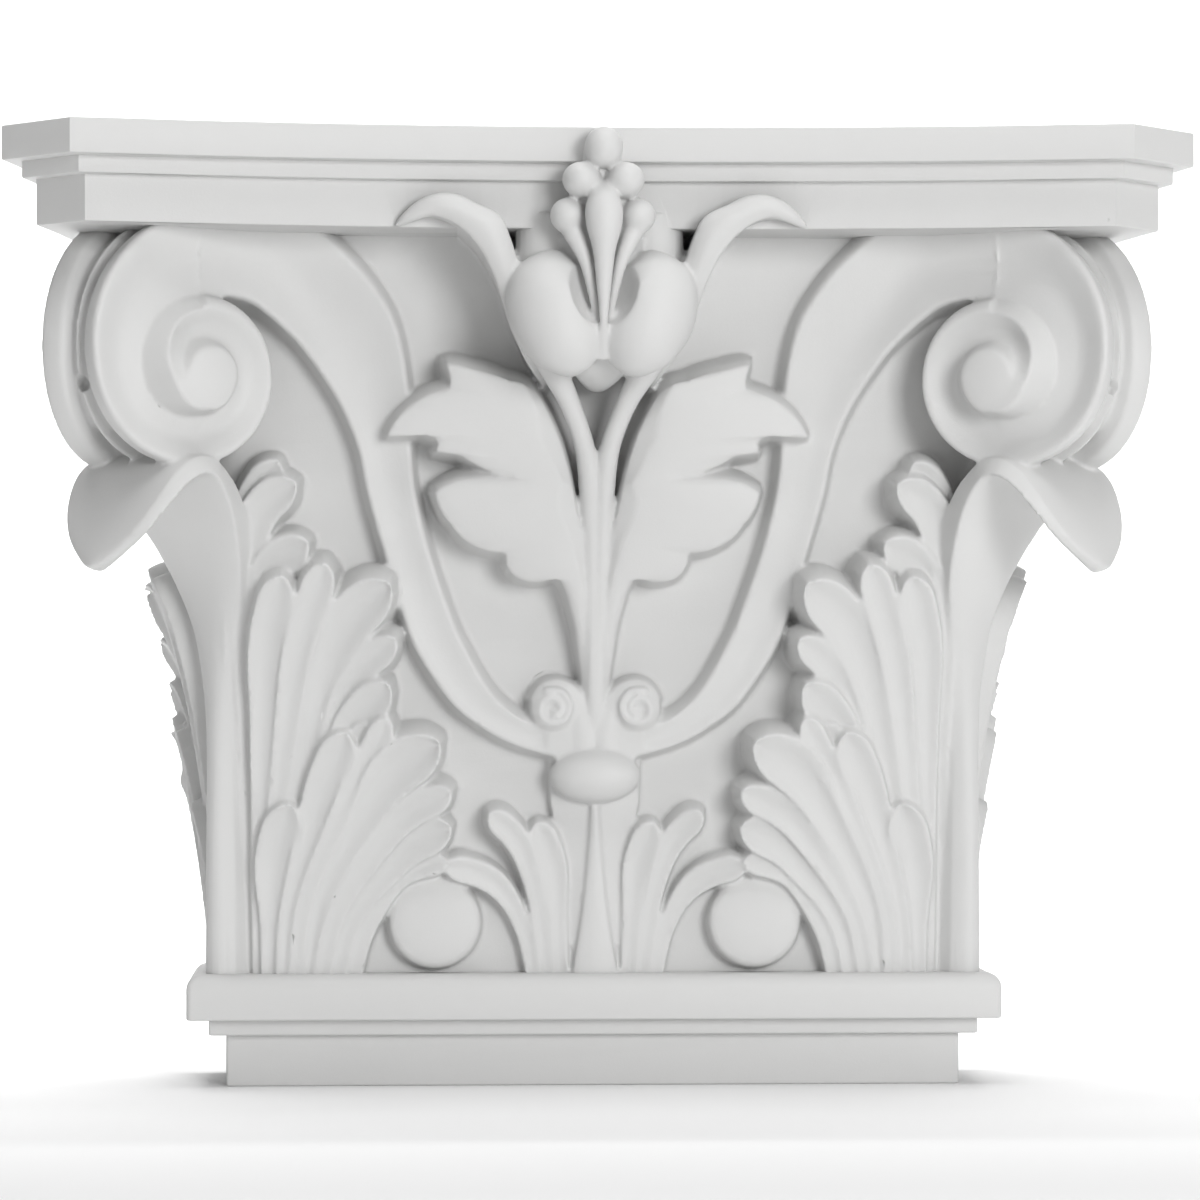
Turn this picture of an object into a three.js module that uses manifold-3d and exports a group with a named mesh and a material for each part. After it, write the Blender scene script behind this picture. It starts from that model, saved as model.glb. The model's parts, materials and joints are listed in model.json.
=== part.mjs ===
// Corinthian pilaster capital: one moulded piece with a flat back.
// Millimetres, +Z up, +X to the viewer's right, -Y towards the viewer.
// The origin is the middle of the underside, the wall is at y = +depth / 2.
//
// The carving is drawn on a flat sheet that lies on the bell's face: x is
// counted from the middle outwards, z from the foot of the bell upwards.
// Everything is drawn for the left half and mirrored to the right.

import * as THREE from 'three';
import { mergeVertices } from 'three/addons/utils/BufferGeometryUtils.js';
import Module from 'manifold-3d';

// Shaft block and base mouldings
const BLOCK_WIDTH = 305;
const BLOCK_DEPTH = 77;
const BLOCK_HEIGHT = 21.5;
const FILLET_OVERHANG = 7;
const FILLET_HEIGHT = 6.7;
const BAR_OVERHANG = 16;
const BAR_HEIGHT = 18.8;
const BAR_EDGE = 6;

// Bell
const BELL_INSET = 2;
const BELL_FLARE = 22;
const BELL_RISE = 303.3;
const BELL_CORNER = 14;

// Abacus, from the lowest tier to the highest
const ABACUS_OVERHANG = 88;
const ABACUS_HOLLOW = 22;
const HORN_CHAMFER = 29;
const TIER_HEIGHTS = [18.7, 6.9, 14.1];
const TIER_INSETS = [12.5, 7.3, 0];

// Corner scrolls: the face leans out by this angle towards the horn
const SCROLL_TURN = Math.PI / 6;
const SCROLL_ASIDE = 8;
const SCROLL_OUT = 49;
const SCROLL_RISE = 243.3;
const SCROLL_RADII = [67, 47.5, 35.5, 32, 33, 25.5, 15.5, 12.5, 11.5];
const SCROLL_THICKNESS = 26;
const SCROLL_DISH = 4.5;
const SCROLL_STEP = 9;
const SCROLL_ENTRY = 3;
const SCROLL_ENTRY_WIDTH = 6;
const SCROLL_STEPS = 14;
const SCROLL_GAP = 0.015;
const RIM_ROUND = 1.5;
const DRUM_SINK = 7;
const EYE_RADIUS = 10.5;
const EYE_DOME = 3;
const DRILL_RADIUS = 3.6;
const DRILL_DEPTH = 14;

// Carving relief
const BURY = 5;
const DRAFT = 0.16;
const BAND_RAISE = 12;
const BAND_DISH = 3;
const FLUTE = 1.6;
const STALK_RAISE = 7;
const WEDGE_RAISE = 11;
const NECK_RAISE = 13;
const STEM_LEAF_RAISE = [12, 24];
const STEM_LEAF_CROWN = 5;

// Round forms: place on the sheet as [x, z, out], size as [across, deep, high]
const ROUNDEL_PLACE = [66, 21];
const ROUNDEL_RADIUS = 18.5;
const ROUNDEL_RAISE = 7;
const BUTTON_PLACE = [17, 110];
const BUTTON_RADIUS = 10;
const BUTTON_RAISE = 15;
const BUD_PLACE = [0, 82, 8];
const BUD_SIZE = [18.5, 11, 11];
const PETAL_PLACE = [19, 269, 60];
const PETAL_SIZE = [19, 20, 23.5];
const LAP_PLACE = [8, 259, 66];
const LAP_SIZE = [12, 13, 11];
const CUP_PLACE = [1, 283, 76];
const CUP_SIZE = [13, 14, 21];
const TOP_BERRY_PLACE = [0, 333, 75];
const HEART_DEPTH = 12;
const BERRY_PLACES = [[8.5, 321, 72], [14.5, 307, 67]];
const BERRY_SIZE = [8, 9, 8];

// The sheet that the carving is drawn on
const SHEET_HALF = 150;
const SHEET_RISE = 303;

// Working values
const HALF = BLOCK_WIDTH / 2;
const FRONT = -BLOCK_DEPTH / 2;
const WALL = BLOCK_DEPTH / 2;
const BAR_BOTTOM = BLOCK_HEIGHT + FILLET_HEIGHT;
const BELL_FOOT = BAR_BOTTOM + BAR_HEIGHT;
const ABACUS_BOTTOM = BELL_FOOT + BELL_RISE;
const HEIGHT = ABACUS_BOTTOM + TIER_HEIGHTS.reduce((sum, tier) => sum + tier, 0);
const BELL_HALF = HALF - BELL_INSET;
const SEAT = 1;
const GRAIN = 0.02;

const wasm = await Module();
wasm.setup();

const lerp = THREE.MathUtils.lerp;
const clamp = THREE.MathUtils.clamp;
const smooth = THREE.MathUtils.smoothstep;

// Closed mesh to solid, with the faces turned outwards
function solid(positions, index) {
  const geometry = new THREE.BufferGeometry();
  geometry.setAttribute('position', new THREE.Float32BufferAttribute(positions, 3));
  geometry.setIndex(index);
  return solidOf(geometry);
}

function solidOf(source) {
  const plain = source.clone();
  plain.deleteAttribute('normal');
  plain.deleteAttribute('uv');
  const geometry = mergeVertices(plain, 1e-4);
  const points = geometry.getAttribute('position').array;
  const corners = Array.from(geometry.getIndex().array);
  const triangles = [];
  let volume = 0;
  const a = new THREE.Vector3();
  const b = new THREE.Vector3();
  const c = new THREE.Vector3();
  for (let i = 0; i < corners.length; i += 3) {
    const [p, q, r] = corners.slice(i, i + 3);
    if (p === q || q === r || r === p) continue;
    a.fromArray(points, p * 3);
    b.fromArray(points, q * 3);
    c.fromArray(points, r * 3);
    volume += a.dot(b.cross(c));
    triangles.push([p, q, r]);
  }
  const turned = volume < 0 ? triangles.map(([p, q, r]) => [p, r, q]) : triangles;
  return new wasm.Manifold(new wasm.Mesh({
    numProp: 3,
    vertProperties: new Float32Array(points),
    triVerts: new Uint32Array(turned.flat()),
  }));
}

function geometryOf(manifold) {
  const mesh = manifold.getMesh();
  const geometry = new THREE.BufferGeometry();
  geometry.setAttribute('position', new THREE.BufferAttribute(mesh.vertProperties, 3));
  geometry.setIndex(new THREE.BufferAttribute(mesh.triVerts, 1));
  return geometry;
}

// Corners are snapped to a fine grid, and faces that collapse on it are dropped
function welded(source) {
  const snapped = source.clone();
  const points = snapped.getAttribute('position');
  for (let i = 0; i < points.array.length; i += 1) {
    points.array[i] = Math.round(points.array[i] / GRAIN) * GRAIN;
  }
  const geometry = mergeVertices(snapped, GRAIN / 4);
  const corners = Array.from(geometry.getIndex().array);
  const faces = new Map();
  for (let i = 0; i < corners.length; i += 3) {
    const face = corners.slice(i, i + 3);
    const key = [...face].sort((a, b) => a - b).join(' ');
    if (new Set(face).size < 3) continue;
    if (faces.has(key)) faces.delete(key);
    else faces.set(key, face);
  }
  geometry.setIndex([...faces.values()].flat());
  return geometry;
}

function join(pieces) {
  return pieces.slice(1).reduce((whole, piece) => whole.add(piece), pieces[0]);
}

function moved(manifold, matrix) {
  return solidOf(geometryOf(manifold).applyMatrix4(matrix));
}

// Solid through rings of equal length, closed at both ends by a fan
function loft(rings) {
  const count = rings[0].length;
  const positions = rings.flat(2);
  const index = [];
  for (let k = 0; k + 1 < rings.length; k += 1) {
    for (let i = 0; i < count; i += 1) {
      const j = (i + 1) % count;
      const low = k * count;
      const high = low + count;
      index.push(low + i, low + j, high + j, low + i, high + j, high + i);
    }
  }
  const ends = [0, rings.length - 1];
  ends.forEach((end) => {
    const middle = [0, 1, 2].map((axis) => rings[end].reduce((sum, p) => sum + p[axis], 0) / count);
    const hub = positions.length / 3;
    positions.push(...middle);
    for (let i = 0; i < count; i += 1) {
      const j = (i + 1) % count;
      const rim = [end * count + i, end * count + j];
      index.push(hub, ...(end === 0 ? rim.reverse() : rim));
    }
  });
  return solid(positions, index);
}

// Solid between a front sheet and a back sheet of the same grid
function slab(columns, rows, front, back) {
  const positions = [];
  const index = [];
  const sheets = [front, back];
  sheets.forEach((sheet) => {
    for (let k = 0; k <= rows; k += 1) {
      for (let i = 0; i <= columns; i += 1) positions.push(...sheet(i / columns, k / rows));
    }
  });
  const size = (columns + 1) * (rows + 1);
  const at = (side, i, k) => side * size + k * (columns + 1) + i;
  const quad = (a, b, c, d) => index.push(a, b, c, a, c, d);
  for (let k = 0; k < rows; k += 1) {
    for (let i = 0; i < columns; i += 1) {
      quad(at(0, i, k), at(0, i + 1, k), at(0, i + 1, k + 1), at(0, i, k + 1));
      quad(at(1, i, k), at(1, i, k + 1), at(1, i + 1, k + 1), at(1, i + 1, k));
    }
  }
  for (let i = 0; i < columns; i += 1) {
    quad(at(0, i, 0), at(1, i, 0), at(1, i + 1, 0), at(0, i + 1, 0));
    quad(at(0, i, rows), at(0, i + 1, rows), at(1, i + 1, rows), at(1, i, rows));
  }
  for (let k = 0; k < rows; k += 1) {
    quad(at(0, 0, k), at(0, 0, k + 1), at(1, 0, k + 1), at(1, 0, k));
    quad(at(0, columns, k), at(1, columns, k), at(1, columns, k + 1), at(0, columns, k + 1));
  }
  return solid(positions, index);
}

// The bell stands out from the block's face by this much at sheet height z
function bellOut(z) {
  const share = clamp(z / SHEET_RISE, 0, 1.1);
  return -BELL_INSET + BELL_FLARE * share ** 2.5;
}

// Point of the sheet, standing out from the block's face by "out"
function place(x, z, out) {
  return [-x * BELL_HALF / SHEET_HALF, FRONT - out, BELL_FOOT + z * BELL_RISE / SHEET_RISE];
}

// Outline of a rounded rectangle, flat against the wall
function rounded(halfWidth, out, radius, steps = 3) {
  const ring = [];
  const corners = [[-1, Math.PI, 1.5 * Math.PI], [1, 1.5 * Math.PI, 2 * Math.PI]];
  ring.push([-halfWidth, WALL]);
  corners.forEach(([side, from, to]) => {
    for (let i = 0; i <= steps; i += 1) {
      const angle = lerp(from, to, i / steps);
      const x = side * (halfWidth - radius) + radius * Math.cos(angle);
      ring.push([x, FRONT - out + radius + radius * Math.sin(angle)]);
    }
  });
  ring.push([halfWidth, WALL]);
  return ring;
}

function bell() {
  const rings = [];
  const levels = 5;
  for (let k = 0; k <= levels; k += 1) {
    const z = lerp(-SEAT, SHEET_RISE + SEAT, k / levels);
    const out = bellOut(z);
    const ring = rounded(HALF + out, out, BELL_CORNER, 2);
    rings.push(ring.map(([x, y]) => [x, y, BELL_FOOT + z * BELL_RISE / SHEET_RISE]));
  }
  return loft(rings);
}

function box(overhang, bottom, top) {
  const depth = BLOCK_DEPTH + overhang;
  const geometry = new THREE.BoxGeometry(BLOCK_WIDTH + 2 * overhang, depth, top - bottom);
  geometry.translate(0, WALL - depth / 2, (bottom + top) / 2);
  return solidOf(geometry);
}

// The bar over the fillet has a softly rounded upper edge
function bar() {
  const rings = [];
  const steps = 3;
  rings.push([BAR_OVERHANG - 1, BAR_BOTTOM]);
  rings.push([BAR_OVERHANG, BAR_BOTTOM + 1]);
  for (let i = 0; i <= steps; i += 1) {
    const angle = i / steps * Math.PI / 2;
    const out = BAR_OVERHANG - BAR_EDGE * (1 - Math.cos(angle));
    rings.push([out, BELL_FOOT - BAR_EDGE * (1 - Math.sin(angle))]);
  }
  return loft(rings.map(([out, z]) => rounded(HALF + out, out, 2, 1).map(([x, y]) => [x, y, z])));
}

function base() {
  return join([
    box(0, 0, BLOCK_HEIGHT + SEAT),
    box(FILLET_OVERHANG, BLOCK_HEIGHT, BAR_BOTTOM + SEAT),
    bar(),
  ]);
}

// Hollow front edge of an abacus tier, as far out at x from the middle
function hollowOut(x, inset) {
  const reach = HALF + ABACUS_OVERHANG - HORN_CHAMFER;
  return ABACUS_OVERHANG - inset - ABACUS_HOLLOW * (1 - (x / reach) ** 2);
}

function tierOutline(inset) {
  const reach = HALF + ABACUS_OVERHANG - HORN_CHAMFER - inset * Math.tan(Math.PI / 8);
  const frontSteps = 10;
  const sideSteps = 3;
  const left = [];
  for (let i = 0; i <= frontSteps / 2; i += 1) {
    const x = reach * (1 - 2 * i / frontSteps);
    left.push([-x, FRONT - hollowOut(x, inset)]);
  }
  const side = [];
  for (let i = 0; i <= sideSteps; i += 1) {
    const x = lerp(HALF - BLOCK_DEPTH, reach, i / sideSteps);
    side.push([-HALF - hollowOut(x, inset), FRONT - (x - HALF)]);
  }
  const half = [...side, ...left];
  return [...half, ...half.slice(0, -1).reverse().map(([x, y]) => [-x, y])];
}

function abacus() {
  let bottom = ABACUS_BOTTOM;
  const tiers = TIER_HEIGHTS.map((height, i) => {
    const shape = new THREE.Shape(tierOutline(TIER_INSETS[i]).map(([x, y]) => new THREE.Vector2(x, y)));
    const seat = i < TIER_HEIGHTS.length - 1 ? SEAT : 0;
    const geometry = new THREE.ExtrudeGeometry(shape, { depth: height + seat, bevelEnabled: false });
    geometry.translate(0, 0, bottom);
    bottom += height;
    return solidOf(geometry);
  });
  return join(tiers);
}

// Radius of the scroll's spiral after so many turns, starting at the top
function spiral(turns) {
  const spot = clamp(turns * 4, 0, SCROLL_RADII.length - 1);
  const i = Math.min(Math.floor(spot), SCROLL_RADII.length - 2);
  const t = spot - i;
  const value = (n) => SCROLL_RADII[clamp(n, 0, SCROLL_RADII.length - 1)];
  const slopeIn = (value(i + 1) - value(i - 1)) / 2;
  const slopeOut = (value(i + 2) - value(i)) / 2;
  const t2 = t * t;
  const t3 = t2 * t;
  const ends = value(i) * (2 * t3 - 3 * t2 + 1) + value(i + 1) * (3 * t2 - 2 * t3);
  return ends + slopeIn * (t3 - 2 * t2 + t) + slopeOut * (t3 - t2);
}

// Point on the scroll's leaning face, "lift" proud of it
function onScroll(turns, radius, lift) {
  const angle = turns * 2 * Math.PI;
  const across = radius * Math.sin(angle);
  const aside = SCROLL_ASIDE + across * Math.cos(SCROLL_TURN) - lift * Math.sin(SCROLL_TURN);
  const out = SCROLL_OUT + across * Math.sin(SCROLL_TURN) + lift * Math.cos(SCROLL_TURN);
  const z = BELL_FOOT + SCROLL_RISE * BELL_RISE / SHEET_RISE + radius * Math.cos(angle);
  return [-HALF - aside, FRONT - out, z];
}

// One scroll face: rim, dished channel, inner turn that climbs out of it, domed eye
function scrollFace(steps) {
  const core = EYE_RADIUS + 1;
  const entry = spiral(1) - SCROLL_ENTRY_WIDTH;
  const inner = (t) => (t < 0.5 ? spiral(1 + t) : lerp(spiral(1.5), entry, 2 * t - 1));
  const climb = (t) => (t < 0.5 ? smooth(t, 0, 0.3) : 1 - smooth(t, 0.5, 1));
  const step = (t) => lerp(SCROLL_ENTRY, SCROLL_STEP, climb(t));
  const face = (t) => SCROLL_ENTRY * smooth(t, 0.5, 1);
  const dish = (t) => SCROLL_DISH * clamp((spiral(t) - inner(t)) / core, 0, 1);
  const hollow = (t) => SCROLL_DISH * clamp((inner(t) - core) / core, 0, 1);
  const profile = [
    (t) => [spiral(t) * 0.9, -SCROLL_THICKNESS],
    (t) => [spiral(t), face(t) - RIM_ROUND],
    (t) => [lerp(spiral(t), inner(t), 0.1), face(t)],
    (t) => [lerp(spiral(t), inner(t), 0.65), face(t) - dish(t)],
    (t) => [inner(t) + RIM_ROUND, face(t) - dish(t)],
    (t) => [inner(t) - RIM_ROUND / 3, step(t)],
    (t) => [lerp(inner(t), core, 0.65), step(t) - hollow(t)],
    () => [EYE_RADIUS, SCROLL_STEP],
    () => [EYE_RADIUS * 0.7, SCROLL_STEP + EYE_DOME],
  ];
  const rings = profile.map((radiusAndLift) => {
    const ring = [];
    for (let i = 0; i <= steps; i += 1) {
      const t = (i / steps) * (1 - SCROLL_GAP);
      const [radius, lift] = radiusAndLift(t);
      ring.push(onScroll(t, radius, lift));
    }
    return ring;
  });
  return loft(rings);
}

// Reflection that turns the front face's carving into the side's
function sideways() {
  const matrix = new THREE.Matrix4();
  matrix.set(0, 1, 0, -HALF - FRONT, 1, 0, 0, FRONT + HALF, 0, 0, 1, 0, 0, 0, 0, 1);
  return matrix;
}

// Drum between the front and the side scroll, with a ridge down its middle
function scrollDrum(steps) {
  const mirror = sideways();
  const stations = [[0, 0.93], [0.26, 0.9], [0.5, 0.98], [0.74, 0.9], [1, 0.93]];
  return loft(stations.map(([across, share]) => {
    const ring = [];
    for (let i = 0; i < steps; i += 1) {
      const t = i / steps;
      const near = new THREE.Vector3(...onScroll(t, spiral(t) * share, -DRUM_SINK));
      const far = near.clone().applyMatrix4(mirror);
      ring.push(near.lerp(far, across).toArray());
    }
    return ring;
  }));
}

// Band from the scroll's top down to the bud: outer edge, inner edge
const BAND_COURSE = [
  [(HALF + SCROLL_ASIDE + 1) * SHEET_HALF / BELL_HALF, SCROLL_RISE + SCROLL_RADII[0],
    (HALF + SCROLL_ASIDE + 1) * SHEET_HALF / BELL_HALF, SCROLL_RISE + SCROLL_RADII[4]],
  [131, 311, 141, 274], [112, 304, 134, 269],
  [92, 284, 121, 257], [80, 262, 110, 242], [76, 232, 101, 225],
  [74, 199, 94, 197], [68, 173, 86, 168], [59, 148, 78, 143],
  [47, 123, 65, 118], [33, 107, 51, 103], [17, 101, 33, 94], [6, 99, 12, 88],
];

function bandOut(x, z) {
  const aside = x * BELL_HALF / SHEET_HALF - HALF;
  const lean = SCROLL_OUT + (aside - SCROLL_ASIDE) * Math.tan(SCROLL_TURN);
  return Math.max(bellOut(z) + BAND_RAISE, lean);
}

function band() {
  const across = [0, 0.5, 1];
  const dish = [0, -SCROLL_DISH, -SCROLL_DISH];
  const course = (u, v, spread) => {
    const [ox, oz, ix, iz] = BAND_COURSE[Math.round(v * (BAND_COURSE.length - 1))];
    const spot = Math.round(u * (across.length - 1));
    const wide = across[spot] + spread * (across[spot] - 0.5);
    return [lerp(ox, ix, wide), lerp(oz, iz, wide), Math.hypot(ox - ix, oz - iz), spot];
  };
  const front = (u, v) => {
    const [x, z, width, spot] = course(u, v, 0);
    const free = -BAND_DISH * clamp(width / 30, 0, 1.2) * (1 - (2 * across[spot] - 1) ** 2);
    return place(x, z, bandOut(x, z) + lerp(dish[spot], free, smooth(v, 0.1, 0.35)));
  };
  const back = (u, v) => {
    const [x, z] = course(u, v, 0.3);
    return place(x, z, bellOut(z) - BURY);
  };
  return slab(across.length - 1, BAND_COURSE.length - 1, front, back);
}

// Fluted leaf. The root and the rim are lists of [x, z, lift, flute]; ribs run
// from the root to the rim, first upwards and then outwards.
function leaf({ root, rim, body, rows = 3, rise = 0.7, sway = 0.2, power = 3 }) {
  const columns = rim.length - 1;
  const foot = (u) => {
    const spot = clamp(u, 0, 1) * (root.length - 1);
    const i = Math.min(Math.floor(spot), root.length - 2);
    return root[i].map((value, axis) => lerp(value, root[i + 1][axis], spot - i));
  };
  const rib = (u, v) => {
    const [fx, fz] = foot(u);
    const [tx, tz] = rim[Math.round(u * columns)];
    const cx = lerp(fx, tx, sway);
    const cz = lerp(fz, tz, rise);
    const a = (1 - v) * (1 - v);
    const b = 2 * v * (1 - v);
    return [a * fx + b * cx + v * v * tx, a * fz + b * cz + v * v * tz];
  };
  const lift = (u, v) => {
    const [, , high, flute] = rim[Math.round(u * columns)];
    return body + (high - body) * v ** power + FLUTE * flute * Math.sin(Math.PI * v) ** 0.6;
  };
  const front = (u, v) => {
    const [x, z] = rib(u, v);
    return place(x, z, bellOut(z) + lift(u, v));
  };
  const outward = (u, v) => {
    const d = 1 / columns;
    const [ax, az] = rib(Math.max(u - d, 0), v);
    const [bx, bz] = rib(Math.min(u + d, 1), v);
    const [cx, cz] = rib(u, v);
    const [px, pz] = rib(u, Math.max(v - 1 / rows, 0));
    const side = u === 0 ? -1 : (u === 1 ? 1 : 0);
    const along = v === 1 ? 1 : 0;
    let dx = side * (bx - ax) / (Math.hypot(bx - ax, bz - az) || 1);
    let dz = side * (bz - az) / (Math.hypot(bx - ax, bz - az) || 1);
    dx += along * (cx - px) / (Math.hypot(cx - px, cz - pz) || 1);
    dz += along * (cz - pz) / (Math.hypot(cx - px, cz - pz) || 1);
    const length = Math.hypot(dx, dz) || 1;
    return [dx / length, dz / length];
  };
  const back = (u, v) => {
    const [x, z] = rib(u, v);
    const onRim = u === 0 || u === 1 || v === 1;
    const spread = onRim ? DRAFT * (lift(u, v) + BURY) : 0;
    const [dx, dz] = outward(u, v);
    return place(x + dx * spread, z + dz * spread, bellOut(z) - BURY);
  };
  return slab(columns, rows, front, back);
}

// Side lobe under the scroll, beside the corner leaf
function sideLobe() {
  return leaf({
    root: [[157, 92], [146, 92]],
    rim: [
      [156, 176, 22, 0], [147, 198, 24, 1], [137, 211, 24, 0], [123, 205, 22, -1],
      [125, 188, 14, 1], [120, 177, 20, -1], [133, 163, 12, 0], [142, 150, 10, 0],
    ],
    body: 9,
    power: 2,
    rows: 2,
  });
}

// Tall leaf behind, whose tips curl well clear of the bell
function backLeaf() {
  return leaf({
    root: [[141, -1], [100, -1]],
    rim: [
      [146, 136, 16, 0], [142, 121, 13, 1], [140, 149, 26, 0], [130, 163, 34, -1],
      [117, 152, 24, 1], [112, 170, 34, -1], [104, 158, 26, 1], [97, 166, 34, 0], [85, 159, 34, -1],
      [92, 146, 24, 1], [83, 139, 24, -1], [104, 126, 13, 1], [86, 121, 18, -1],
      [100, 109, 12, 1], [94, 104, 13, -1],
    ],
    body: 7,
  });
}

// Lower leaf in front of it
function frontLeaf() {
  return leaf({
    root: [[132, -1], [84, -1]],
    rim: [
      [134, 26, 13, 0], [133, 53, 15, -1], [127, 52, 15, 1], [129, 70, 18, -1],
      [111, 61, 16, 1], [115, 83, 20, 0], [104, 99, 24, -1], [92, 88, 19, 1], [85, 103, 24, -1],
      [80, 97, 21, 1], [64, 100, 23, -1], [63, 77, 19, -0.5],
      [79, 63, 15, 1], [59, 65, 16, -1], [66, 50, 14, 0], [83, 38, 12, 1], [87, 18, 11, 0],
    ],
    body: 13,
  });
}

// Low leaf beside the middle stalk
function middleLeaf() {
  return leaf({
    root: [[24, -1], [9, -1]],
    rim: [
      [43, 16, 8, 0], [42, 25, 9, 0], [46, 33, 10, 1], [62, 44, 14, -1], [40, 47, 11, 0],
      [33, 42, 10, 1], [41, 64, 15, -1], [17, 58, 11, 0], [11, 42, 9, 0],
    ],
    body: 7,
    rise: 0.85,
    sway: 0.12,
  });
}

// Ring around a place on the sheet
function circle([x, z], radius, out, steps) {
  const points = [];
  for (let i = 0; i < steps; i += 1) {
    const angle = i / steps * 2 * Math.PI;
    points.push(place(x + radius * Math.cos(angle), z + radius * Math.sin(angle), out));
  }
  return points;
}

function roundel() {
  const ring = (radius, out) => circle(ROUNDEL_PLACE, radius, out, 14);
  return loft([
    ring(ROUNDEL_RADIUS + 1, -BURY - BELL_INSET),
    ring(ROUNDEL_RADIUS, ROUNDEL_RAISE - 1.5),
    ring(ROUNDEL_RADIUS - 1.5, ROUNDEL_RAISE),
    ring(ROUNDEL_RADIUS * 0.5, ROUNDEL_RAISE + 1),
  ]);
}

// Smooth leaf beside the stem: the stem side first, then the lobed side
function stemLeaf() {
  const inner = [
    [2, 96], [2, 120], [3, 148], [5, 171], [9, 184], [16, 205], [25, 224], [34, 238], [39, 244],
  ];
  const lobes = [
    [4, 96], [6, 120], [9, 142], [16, 164], [28, 161], [37, 168], [54, 177],
    [66, 198], [51, 204], [34, 203], [51, 213], [85, 221], [79, 232], [60, 241], [61, 250], [40, 246],
  ];
  const spot = (list, u) => {
    const at = clamp(u, 0, 1) * (list.length - 1);
    const i = Math.min(Math.floor(at), list.length - 2);
    return [lerp(list[i][0], list[i + 1][0], at - i), lerp(list[i][1], list[i + 1][1], at - i)];
  };
  const flat = (u, v, spread) => {
    const [sx, sz] = spot(inner, u);
    const [ex, ez] = spot(lobes, u);
    const w = v + spread * (v - 0.5);
    return [lerp(sx, ex, w), lerp(sz, ez, w)];
  };
  const raise = (z) => lerp(STEM_LEAF_RAISE[0], STEM_LEAF_RAISE[1], smooth(z, 110, 210));
  const front = (u, v) => {
    const [x, z] = flat(u, v, 0);
    return place(x, z, bellOut(z) + raise(z) - STEM_LEAF_CROWN * (2 * v - 1) ** 2);
  };
  const back = (u, v) => {
    const [x, z] = flat(u, v, DRAFT);
    return place(x, z, bellOut(z) - BURY);
  };
  return slab(lobes.length - 1, 2, front, back);
}

// Round bar along a course of [x, z, out, radius]
function rod(course, sides = 6) {
  return loft(course.map(([x, z, out, radius], k) => {
    const before = course[Math.max(k - 1, 0)];
    const after = course[Math.min(k + 1, course.length - 1)];
    const [dx, dz, dy] = [0, 1, 2].map((axis) => after[axis] - before[axis]);
    const way = new THREE.Vector3(dx, dy, dz).normalize();
    const outwards = new THREE.Vector3(0, 1, 0).addScaledVector(way, -way.y).normalize();
    const across = new THREE.Vector3().crossVectors(way, outwards);
    const ring = [];
    for (let i = 0; i < sides; i += 1) {
      const angle = i / sides * 2 * Math.PI;
      const spoke = across.clone().multiplyScalar(radius * Math.cos(angle));
      spoke.addScaledVector(outwards, radius * Math.sin(angle));
      ring.push(place(x + spoke.x, z + spoke.z, out + spoke.y));
    }
    return ring;
  }));
}

function ball(spot, size, detail = 8) {
  const geometry = new THREE.SphereGeometry(1, detail, Math.round(detail * 0.7));
  geometry.rotateX(Math.PI / 2);
  geometry.scale(...size);
  geometry.translate(...place(...spot));
  return solidOf(geometry);
}

// Stem half: trunk from the bud, then an arm out to the flower
function stem() {
  return rod([
    [0.5, 92, 8, 3], [1.5, 140, 14, 4.5], [3, 205, 22, 5.5],
    [6, 218, 24, 4.5], [12, 233, 30, 4], [19, 250, 42, 5],
  ]);
}

// Half of a strip up the middle, as wide as the outline of [x, z] says
function middleStrip(outline, raise) {
  const at = (v) => outline[Math.round(v * (outline.length - 1))];
  const front = (u, v) => {
    const [x, z] = at(v);
    return place(lerp(-SEAT, x, u), z, bellOut(z) + raise);
  };
  const back = (u, v) => {
    const [x, z] = at(v);
    return place(lerp(-SEAT, x + DRAFT * (raise + BURY), u), z, bellOut(z) - BURY);
  };
  return slab(1, outline.length - 1, front, back);
}

// Stalk under the bud, and the wedge that stands proud of it
function stalk() {
  const outline = [[19, 92], [18.5, 69], [15, 57], [10, 40], [8, 20], [9, -1]];
  const wedge = [[1.6, 74], [2, 60], [4, 37], [6, 20], [9, -1]];
  return [middleStrip(outline, STALK_RAISE), middleStrip(wedge, WEDGE_RAISE)];
}

// Button of the small scroll, and its neck down to the bud
function smallScroll() {
  const ring = (radius, out) => circle(BUTTON_PLACE, radius, out, 10);
  const button = loft([
    ring(BUTTON_RADIUS, -BURY),
    ring(BUTTON_RADIUS - 1, BUTTON_RAISE - 2),
    ring(BUTTON_RADIUS * 0.65, BUTTON_RAISE),
  ]);
  const course = [[17, 101.5, 10, 116], [10, 108, 7, 112], [8, 100, 6, 100], [6, 90, 3, 90]];
  const at = (u, v) => {
    const [ox, oz, ix, iz] = course[Math.round(v * (course.length - 1))];
    return [lerp(ox, ix, u), lerp(oz, iz, u), oz];
  };
  const front = (u, v) => {
    const [x, z, level] = at(u, v);
    return place(x, z, bellOut(level) + NECK_RAISE);
  };
  const back = (u, v) => {
    const [x, z, level] = at(u, v);
    return place(x, z, bellOut(level) - BURY);
  };
  return [button, slab(1, course.length - 1, front, back)];
}

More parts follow.
